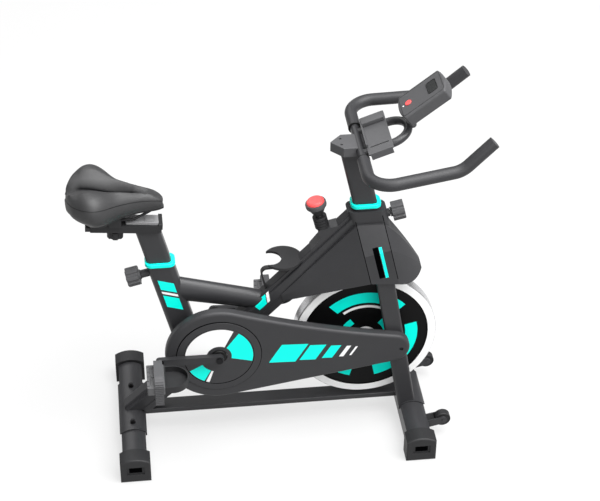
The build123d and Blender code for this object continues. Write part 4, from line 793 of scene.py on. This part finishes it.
class Workbench:
    """Modelling tools for the pieces that are left to the looks."""

    def __init__(self, body: Body) -> None:
        """Open a bench for one moving body.

        Args:
            body: Body that the pieces ride on.
        """
        self.body = body

    def pick(self, piece: bpy.types.Object) -> None:
        """Select one object alone.

        Args:
            piece: The object.
        """
        bpy.ops.object.select_all(action="DESELECT")
        piece.select_set(True)
        bpy.context.view_layer.objects.active = piece

    def mount(self, piece: bpy.types.Object, finish: Finish, smooth_deg: float = 35.0) -> None:
        """Dress a finished piece and let it ride on the bench's body.

        Args:
            piece: The modelled piece.
            finish: Its surface.
            smooth_deg: Edges flatter than this shade smooth.
        """
        self.pick(piece)
        bpy.ops.object.shade_smooth_by_angle(angle=math.radians(smooth_deg))
        piece.data.materials.clear()
        piece.data.materials.append(finish.make())
        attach(piece, self.body.value)
        LOG.info("%s rides on %s", piece.name, self.body.value)

    def turned(self, name: str, place: Place, profile: Sequence[tuple[float, float]], finish: Finish,
               steps: int = 48) -> None:
        """Turn a profile about the place's outward axis.

        Args:
            name: Name of the piece.
            place: Where the axis stands.
            profile: Points as radius and height. A profile that starts on the axis stays open.
            finish: Surface of the piece.
            steps: Facets around.
        """
        count = len(profile)
        closed = profile[0][0] > 0.0
        edges = [(i, (i + 1) % count) for i in range(count if closed else count - 1)]
        mesh = bpy.data.meshes.new(name)
        mesh.from_pydata([(radius, 0.0, height) for radius, height in profile], edges, [])
        piece = bpy.data.objects.new(name, mesh)
        bpy.context.scene.collection.objects.link(piece)
        self.pick(piece)
        bpy.ops.object.mode_set(mode="EDIT")
        bpy.ops.mesh.select_all(action="SELECT")
        bpy.ops.mesh.spin(steps=steps, angle=math.tau, center=(0.0, 0.0, 0.0), axis=UP)
        bpy.ops.mesh.select_all(action="SELECT")
        bpy.ops.mesh.remove_doubles(threshold=TURNED_WELD)
        bpy.ops.mesh.normals_make_consistent(inside=False)
        bpy.ops.object.mode_set(mode="OBJECT")
        mesh.transform(place.matrix())
        self.mount(piece, finish)

    def block(self, name: str, place: Place, size: Triple, bevel: float, finish: Finish) -> None:
        """Make a block with rounded edges.

        Args:
            name: Name of the piece.
            place: Middle of the block.
            size: Lengths along u, along the third axis and out of the face.
            bevel: Radius of the edges.
            finish: Surface of the piece.
        """
        bpy.ops.object.select_all(action="DESELECT")
        bpy.ops.mesh.primitive_cube_add(size=1.0)
        piece = bpy.context.object
        piece.name = name
        piece.scale = size
        bpy.ops.object.transform_apply(location=True, rotation=True, scale=True)
        soften = piece.modifiers.new("soften", "BEVEL")
        soften.width = bevel
        soften.segments = 3
        bpy.ops.object.modifier_apply(modifier=soften.name)
        piece.data.transform(place.matrix())
        self.mount(piece, finish)

    def wire(self, name: str, points: Sequence[Vector], radius: float, finish: Finish) -> None:
        """Run a thin round wire along points and back to the first.

        Args:
            name: Name of the piece.
            points: Points in the bike's frame.
            radius: Radius of the wire.
            finish: Surface of the piece.
        """
        curve = bpy.data.curves.new(name, "CURVE")
        curve.dimensions = "3D"
        curve.bevel_depth = radius
        curve.bevel_resolution = 2
        curve.use_fill_caps = False
        spline = curve.splines.new("POLY")
        spline.points.add(len(points) - 1)
        spline.use_cyclic_u = True
        for knot, point in zip(spline.points, points):
            knot.co = (*point, 1.0)
        piece = bpy.data.objects.new(name, curve)
        bpy.context.scene.collection.objects.link(piece)
        self.pick(piece)
        bpy.ops.object.convert(target="MESH")
        self.mount(bpy.context.object, finish, WIRE_SMOOTH_DEG)

    def frame_line(self, name: str, place: Place, halves: tuple[float, float], corner: float, radius: float,
                   finish: Finish) -> None:
        """Run a wire along a rounded rectangle on a face.

        Args:
            name: Name of the piece.
            place: Middle of the rectangle.
            halves: Half lengths along u and along the third axis.
            corner: Corner radius.
            radius: Radius of the wire.
            finish: Surface of the piece.
        """
        straight_u, straight_v = halves[0] - corner, halves[1] - corner
        points = []
        for quarter, (side_u, side_v) in enumerate(((1, 1), (-1, 1), (-1, -1), (1, -1))):
            for step in range(CORNER_STEPS + 1):
                angle = math.radians(90.0 * (quarter + step / CORNER_STEPS))
                points.append(place.at(side_u * straight_u + corner * math.cos(angle),
                                       side_v * straight_v + corner * math.sin(angle)))
        self.wire(name, points, radius, finish)


@dataclass
class SubAssembly:
    """A group of CAD nodes with its finishes and added pieces."""

    nodes: dict[str, bpy.types.Object]
    wears: tuple[Wear, ...] = field(default=(), init=False)

    def dress(self) -> None:
        """Give the group's nodes their finishes."""
        for wear in self.wears:
            material = wear.finish.make()
            for name in wear.nodes:
                mesh = self.nodes[name].data
                mesh.materials.clear()
                mesh.materials.append(material)
                LOG.info("%s wears %s", name, wear.finish.name)

    def add_pieces(self) -> None:
        """Model what the group has beyond its CAD nodes."""


@dataclass
class MainFrame(SubAssembly):
    """Feet, rail, tubes, fork and their fasteners."""

    cap_face: float = 0.2335

    def __post_init__(self) -> None:
        """Choose the finishes."""
        self.wears = (
            Wear(POWDER, ("rear_stabiliser", "front_stabiliser", "base_rail", "main_tube", "head_tube",
                          "fork")),
            Wear(replace(POWDER, name="powder_coat_seat_tube", marks=SEAT_TUBE_MARKS), ("seat_tube",)),
            Wear(replace(POWDER, name="powder_coat_beam", marks=BEAM_MARKS), ("main_beam",)),
            Wear(replace(POWDER, name="powder_coat_stay", marks=STAY_MARKS), ("rear_stay",)),
            # The caps carry the painted shade of their slots on their outer faces
            Wear(replace(MOULDING, name="cap_moulding", marks=CAP_SLOT_SHADE, marks_beyond=CROSS,
                         marks_limit=self.cap_face, marks_both_sides=True), ("end_caps",)),
            Wear(MOULDING, ("bottle_holder", "right_transport_wheel", "left_transport_wheel")),
            Wear(DARK_METAL, ("frame_fasteners",)),
            Wear(Finish("cyan_moulding", Colour.CYAN, 0.40, mottle=0.04), ("post_collars",)),
            # The shroud carries its print and the painted shade of its slot and panel edges
            Wear(replace(HOUSING, name="shroud_moulding", marks=SHROUD_PRINT_AND_SHADE), ("head_shroud",)),
            Wear(replace(KNOB, name="knob_moulding"), ("seat_pin", "head_pin")),
        )


@dataclass
class Drive(SubAssembly):
    """Cranks, belt, belt cover and flywheel."""

    cover_face: float = 0.0915
    tread_radius: float = 0.1962
    dust_radius: float = 0.0208
    dust_inner: float = 0.0088
    dust_back: float = 0.0905
    dust_front: float = 0.0996
    dust_straight: float = 0.6
    dust_bevel: float = 0.002

    def __post_init__(self) -> None:
        """Choose the finishes."""
        self.wears = (
            # The cover carries its print and the painted shade of the gaps around its ring
            Wear(replace(HOUSING, name="cover_moulding", marks=COVER_PRINT_AND_GAP_SHADE, marks_beyond=RIGHT_SIDE,
                         marks_limit=self.cover_face), ("belt_cover_outer",)),
            Wear(Finish("disc_moulding", Colour.CHARCOAL, 0.48, marks=DISC_MARKS), ("cover_disc",)),
            Wear(replace(MOULDING, name="inner_cover_moulding"), ("belt_cover_inner",)),
            Wear(Finish("crank_coat", Colour.CHARCOAL, 0.40, 0.3), ("right_crank_arm", "left_crank_arm")),
            Wear(Finish("spindle_steel", Colour.NEAR_BLACK, 0.34, 0.8, stretch=AXLE_BRUSHING),
                 ("crank_axle", "pedal_spindles")),
            Wear(Finish("zinc_steel", Colour.STEEL, 0.34, 1.0, stretch=AXLE_BRUSHING),
                 ("drive_bearings", "flywheel_axle")),
            Wear(Finish("pulley_metal", Colour.STEEL, 0.40, 1.0), ("drive_pulley", "driven_pulley")),
            Wear(Finish("belt_rubber", Colour.NEAR_BLACK, 0.70), ("drive_belt",)),
            Wear(Finish("wheel_print", Colour.BLACK, 0.50, specular=0.12, marks=WHEEL_MARKS),
                 ("flywheel_discs",)),
            Wear(Finish("rim_enamel", Colour.WHITE, 0.28, mottle=0.03, coat=0.2, marks=RIM_MARKS,
                        bright_ring=(WHEEL, self.tread_radius)), ("flywheel",)),
        )

    def add_pieces(self) -> None:
        """Put the dark dust ring behind each crank's hub."""
        bench = Workbench(Body.CRANK)
        depth = self.dust_front - self.dust_back
        profile = ((self.dust_inner, 0.0), (self.dust_radius, 0.0),
                   (self.dust_radius, depth * self.dust_straight),
                   (self.dust_radius - self.dust_bevel, depth), (self.dust_inner, depth))
        for name, side in (("right_dust_ring", -1.0), ("left_dust_ring", 1.0)):
            place = side_place((BRACKET[0], side * self.dust_back, BRACKET[2]), side)
            bench.turned(name, place, profile, DARK_RUBBER)


@dataclass
class Pedals(SubAssembly):
    """Pedals with their toe trays and straps."""

    right_middle: Triple = (-0.31792, -0.1805, 0.30803)
    left_middle: Triple = (0.00192, 0.1805, 0.29797)
    tread_back: float = -0.0195
    tread_apart: float = 0.0200
    tread_size: Triple = (0.0164, 0.0334, 0.0230)
    tread_bevel: float = 0.001
    rib_pitch: float = 0.006
    rib_depth: float = 0.0004

    def __post_init__(self) -> None:
        """Choose the finishes."""
        self.wears = (
            Wear(PEDAL_MOULDING, ("right_pedal", "left_pedal")),
            Wear(replace(MOULDING, name="tray_moulding", roughness=0.50),
                 ("right_toe_tray", "left_toe_tray")),
            Wear(Finish("strap_web", Colour.SOFT_GREY, 0.60, grain_scale=900.0, grain_depth=0.00008,
                        ribs=(UP, self.rib_pitch, self.rib_depth)), ("right_toe_strap", "left_toe_strap")),
        )

    def add_pieces(self) -> None:
        """Fill the pedals' windows with their treads."""
        for hand, body, (x, y, z) in (("right", Body.RIGHT_PEDAL, self.right_middle),
                                      ("left", Body.LEFT_PEDAL, self.left_middle)):
            bench = Workbench(body)
            for end, shift in (("inner", -self.tread_apart), ("outer", self.tread_apart)):
                spot = (x + self.tread_back, y + math.copysign(1.0, y) * shift, z)
                bench.block(f"{hand}_{end}_tread", Place(spot, AHEAD, UP), self.tread_size, self.tread_bevel,
                            PEDAL_MOULDING)


@dataclass
class Brake(SubAssembly):
    """Brake rod, pad and tension knob."""

    rim_steps: int = 72
    rim: tuple[tuple[float, float], ...] = (
        (0.0254, 0.0665), (0.0272, 0.0665), (0.0280, 0.0690), (0.0280, 0.0765), (0.0268, 0.0795),
        (0.0246, 0.0795), (0.0246, 0.0766), (0.0254, 0.0763),
    )

    def __post_init__(self) -> None:
        """Choose the finishes."""
        self.wears = (
            Wear(MOULDING, ("tension_sleeve",)),
            Wear(replace(MOULDING, name="tension_moulding", roughness=0.50), ("tension_knob",)),
            Wear(RED_MOULDING, ("tension_knob_cap",)),
            Wear(Finish("rod_steel", Colour.STEEL, 0.34, 1.0, stretch=ROD_BRUSHING), ("brake_rod",)),
            Wear(Finish("brake_felt", Colour.FELT, 0.9, grain_scale=500.0, grain_depth=0.0003, sheen=0.4),
                 ("brake_pad",)),
        )

    def add_pieces(self) -> None:
        """Add the turned rim around the red cap."""
        bench = Workbench(Body.TENSION_KNOB)
        bench.turned("tension_knob_rim", TENSION, self.rim, KNOB, self.rim_steps)


@dataclass
class Saddle(SubAssembly):
    """Saddle, its slide and post."""

    weld: float = 0.0001
    voxel: float = 0.005
    smooth_deg: float = 80.0
    shrink: float = 0.002
    pressure: float = 4.0
    last_frame: int = 20
    most_swell: float = 0.006
    pin_height: float = 0.7415
    seam_radius: float = 0.0009
    seam_steps: int = 8
    seam_rounds: int = 3
    rear_height: float = 0.778
    rear_low: tuple[float, float] = (-0.455, 0.088)
    rear_high: tuple[float, float] = (-0.508, 0.031)
    rear_side: tuple[float, float] = (-0.514, 0.027)
    least_end: float = 0.04
    channel_x: float = -0.425
    channel_half: float = 0.105
    channel_depth: float = 0.013
    channel_width: float = 0.017
    plate_end: float = -0.470
    plate_share: float = 0.35
    seam_side: tuple[Triple, ...] = (
        (-0.284, 0.010, 0.758), (-0.300, 0.023, 0.768), (-0.330, 0.034, 0.775), (-0.370, 0.048, 0.781),
        (-0.405, 0.070, 0.789), (-0.436, 0.097, 0.798), (-0.462, 0.109, 0.803), (-0.492, 0.101, 0.803),
        (-0.521, 0.072, 0.799), (-0.537, 0.034, 0.792),
    )

    def __post_init__(self) -> None:
        """Choose the finishes."""
        self.wears = (
            Wear(POWDER, ("seat_post",)),
            Wear(MOULDING, ("saddle_shell", "seat_carriage", "slide_knob")),
            Wear(LEATHER, ("saddle_cushion",)),
            Wear(replace(MOULDING, name="grey_moulding", colour=Colour.LIGHT_GREY, roughness=0.50),
                 ("carriage_cover",)),
            Wear(Finish("black_wire", Colour.NEAR_BLACK, 0.35, 0.6), ("saddle_rails",)),
        )

    def add_pieces(self) -> None:
        """Make the padded saddle, its seam and its base plate."""
        bench = Workbench(Body.SADDLE)
        pad = self.padded_copy(bench)
        self.sew(bench, pad)
        self.base_plate(bench)

    def copied(self, bench: Workbench, node: str, name: str) -> bpy.types.Object:
        """Copy a CAD node, with its place in the mesh and its loose triangles merged.

        Args:
            bench: Tools for the saddle's body.
            node: Name of the node.
            name: Name of the copy.

        Returns:
            The copy, with its own mesh.
        """
        source = self.nodes[node]
        mesh = source.data.copy()
        mesh.transform(source.matrix_world)
        piece = bpy.data.objects.new(name, mesh)
        bpy.context.scene.collection.objects.link(piece)
        bench.pick(piece)
        bpy.ops.object.mode_set(mode="EDIT")
        bpy.ops.mesh.select_all(action="SELECT")
        bpy.ops.mesh.remove_doubles(threshold=self.weld)
        bpy.ops.object.mode_set(mode="OBJECT")
        return piece

    def base_plate(self, bench: Workbench) -> None:
        """Make the plate under the pad, whose rear ends inside the pad's rounding.

        Args:
            bench: Tools for the saddle's body.
        """
        plate = self.copied(bench, "saddle_shell", "saddle_base_plate")
        for vertex in plate.data.vertices:
            past = self.plate_end - vertex.co.x
            if past > 0.0:
                vertex.co.x = self.plate_end - past * self.plate_share
        bench.mount(plate, MOULDING)
        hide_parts("saddle_shell")

    def padded_copy(self, bench: Workbench) -> bpy.types.Object:
        """Blow up a copy of the cushion as cloth over foam.

        Args:
            bench: Tools for the saddle's body.

        Returns:
            The padded piece, which stands for the CAD cushion.
        """
        pad = self.copied(bench, "saddle_cushion", "saddle_pad")
        pad.data.remesh_voxel_size = self.voxel
        bpy.ops.object.voxel_remesh()
        self.shape(pad.data)
        self.blow_up(bench, pad)
        smooth = pad.modifiers.new("smooth", "SUBSURF")
        smooth.levels = 1
        bench.pick(pad)
        bpy.ops.object.modifier_apply(modifier=smooth.name)
        bench.mount(pad, LEATHER, self.smooth_deg)
        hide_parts("saddle_cushion")
        return pad

    def shape(self, mesh: bpy.types.Mesh) -> None:
        """Draw the pad in, round its rear and press its middle channel.

        Args:
            mesh: Remeshed cushion.
        """
        for vertex in mesh.vertices:
            spot = vertex.co
            if spot.z > self.pin_height:
                spot -= vertex.normal * self.shrink
            rise = spot.z - self.rear_height
            start, reach = self.rear_low if rise < 0.0 else self.rear_high
            spot.z = self.rear_height + rise * self.round_off((start - spot.x) / reach)
            start, reach = self.rear_side
            spot.y *= self.round_off((start - spot.x) / reach)
            along = max(0.0, 1.0 - ((spot.x - self.channel_x) / self.channel_half) ** 2)
            if rise > 0.0:
                spot.z -= self.channel_depth * along * math.exp(-((spot.y / self.channel_width) ** 2))

    def round_off(self, share: float) -> float:
        """Height of a quarter circle at a share of its reach, never quite closed."""
        return math.sqrt(max(self.least_end, 1.0 - max(0.0, min(1.0, share)) ** 2))

    def blow_up(self, bench: Workbench, pad: bpy.types.Object) -> None:
        """Run the pressure cloth and keep its capped result.

        Args:
            bench: Tools for the saddle's body.
            pad: Remeshed cushion.
        """
        start = [vertex.co.copy() for vertex in pad.data.vertices]
        pins = pad.vertex_groups.new(name="base")
        pins.add([v.index for v in pad.data.vertices if v.co.z < self.pin_height], 1.0, "REPLACE")
        cloth = pad.modifiers.new("cloth", "CLOTH")
        cloth.settings.use_pressure = True
        cloth.settings.uniform_pressure_force = self.pressure
        cloth.settings.vertex_group_mass = pins.name
        cloth.settings.effector_weights.gravity = 0.0
        cloth.point_cache.frame_end = self.last_frame
        for frame in range(1, self.last_frame + 1):
            bpy.context.scene.frame_set(frame)
        bench.pick(pad)
        bpy.ops.object.modifier_apply(modifier=cloth.name)
        bpy.context.scene.frame_set(1)
        pad.vertex_groups.clear()
        for vertex, origin in zip(pad.data.vertices, start):
            step = vertex.co - origin
            if step.length > self.most_swell:
                vertex.co = origin + step * (self.most_swell / step.length)

    def sew(self, bench: Workbench, pad: bpy.types.Object) -> None:
        """Sew the seam between the top panel and the side panel.

        Args:
            bench: Tools for the saddle's body.
            pad: The padded piece.
        """
        right = [(x, -y, z) for x, y, z in self.seam_side]
        ring = right + list(reversed(self.seam_side))
        points = []
        for index, knot in enumerate(ring):
            after = ring[(index + 1) % len(ring)]
            for step in range(self.seam_steps):
                guess = Vector(knot).lerp(Vector(after), step / self.seam_steps)
                points.append(pad.closest_point_on_mesh(guess)[1])
        for _ in range(self.seam_rounds):
            points = [(points[i - 1] + 2.0 * point + points[(i + 1) % len(points)]) / 4.0
                      for i, point in enumerate(points)]
        bench.wire("saddle_seam", points, self.seam_radius, THREAD)


@dataclass
class Handlebar(SubAssembly):
    """Handlebar, grips, device cradle and console."""

    bar: Triple = LOOP.origin
    grip_start: float = 0.0772
    bar_radius: float = 0.0127
    ring_radius: float = 0.0172
    ring_half: float = 0.0015
    ring_bevel: float = 0.0006
    lens_offset: float = 0.033
    lens_half_u: float = 0.0140
    lens_half_v: float = 0.0240
    lens_corner: float = 0.005
    lens_wire: float = 0.0008
    lens_lift: float = 0.0003
    panel_half_u: float = 0.062
    panel_half_v: float = 0.043
    panel_corner: float = 0.008
    panel_wire: float = 0.0005
    panel_lift: float = 0.0001
    dot_offset: float = -0.055
    dot_sink: float = 0.0002
    dot_radius: float = 0.0022
    dot_side: float = 0.0004
    dot_crown: float = 0.0005
    dot_steps: int = 24
    rest_spot: Triple = (0.051, 0.053, 0.0214)
    rest_size: Triple = (0.060, 0.026, 0.0120)
    rest_bevel: float = 0.0015

    def __post_init__(self) -> None:
        """Choose the finishes."""
        self.wears = (
            Wear(POWDER, ("handlebar_post",)),
            Wear(STEM_COAT, ("stem_head", "device_cradle")),
            Wear(Finish("bar_coat", Colour.CHARCOAL, 0.34), ("handlebar", "console_loop")),
            Wear(Finish("grip_foam", Colour.CHARCOAL, 0.48, grain_scale=800.0, grain_depth=0.0001),
                 ("foam_grips",)),
            Wear(Finish("console_moulding", Colour.SOFT_GREY, 0.52, grain_depth=0.0001, grain_scale=900.0),
                 ("console_housing",)),
            Wear(Finish("display_window", Colour.DISPLAY, 0.22, mottle=0.05, specular=0.2),
                 ("console_lens",)),
            Wear(replace(RED_MOULDING, name="button_moulding"), ("console_button",)),
        )

    def add_pieces(self) -> None:
        """Add the grips' end rings, the cradle's far rest and the console's lines and dot."""
        bench = Workbench(Body.HANDLEBAR)
        self.ring_grips(bench)
        bench.block("cradle_far_rest", LOOP.moved(*self.rest_spot), self.rest_size, self.rest_bevel,
                    STEM_COAT)
        bench.frame_line("console_panel_line", CONSOLE.moved(0.0, 0.0, self.panel_lift),
                         (self.panel_half_u, self.panel_half_v), self.panel_corner, self.panel_wire,
                         PANEL_LINE)
        bench.frame_line("console_lens_rim", CONSOLE.moved(self.lens_offset, 0.0, self.lens_lift),
                         (self.lens_half_u, self.lens_half_v), self.lens_corner, self.lens_wire,
                         PANEL_LINE)
        dot = ((0.0, 0.0), (self.dot_radius, 0.0), (self.dot_radius, self.dot_side), (0.0, self.dot_crown))
        bench.turned("console_dot", CONSOLE.moved(self.dot_offset, 0.0, -self.dot_sink), dot, WHITE_PRINT,
                     self.dot_steps)

    def ring_grips(self, bench: Workbench) -> None:
        """Put a dark ring on the inner end of each grip.

        Args:
            bench: Tools for the handlebar's body.
        """
        shoulder = self.ring_radius - self.ring_bevel
        profile = ((self.bar_radius, -self.ring_half), (shoulder, -self.ring_half), (self.ring_radius, 0.0),
                   (shoulder, self.ring_half), (self.bar_radius, self.ring_half))
        for name, side in (("right_grip_ring", -1.0), ("left_grip_ring", 1.0)):
            place = side_place((self.bar[0], side * self.grip_start, self.bar[2]), side)
            bench.turned(name, place, profile, DARK_RUBBER)


class Bike:
    """The whole bike as its sub-assemblies."""

    def __init__(self, frame: dict) -> None:
        """Sort the loaded nodes into sub-assemblies.
        """
        nodes = frame["nodes"]
        self.groups: tuple[SubAssembly, ...] = (
            MainFrame(nodes), Drive(nodes), Pedals(nodes), Brake(nodes), Saddle(nodes), Handlebar(nodes))

    def dress(self) -> None:
        """Dress every group and add its pieces."""
        for group in self.groups:
            group.dress()
            group.add_pieces()


def main() -> None:
    """Load the frame, dress the bike and set up the studio."""
    logging.basicConfig(level=logging.INFO)
    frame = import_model()
    Bike(frame).dress()
    Studio().build()
    bpy.context.view_layer.update()


if __name__ == "__main__":
    main()
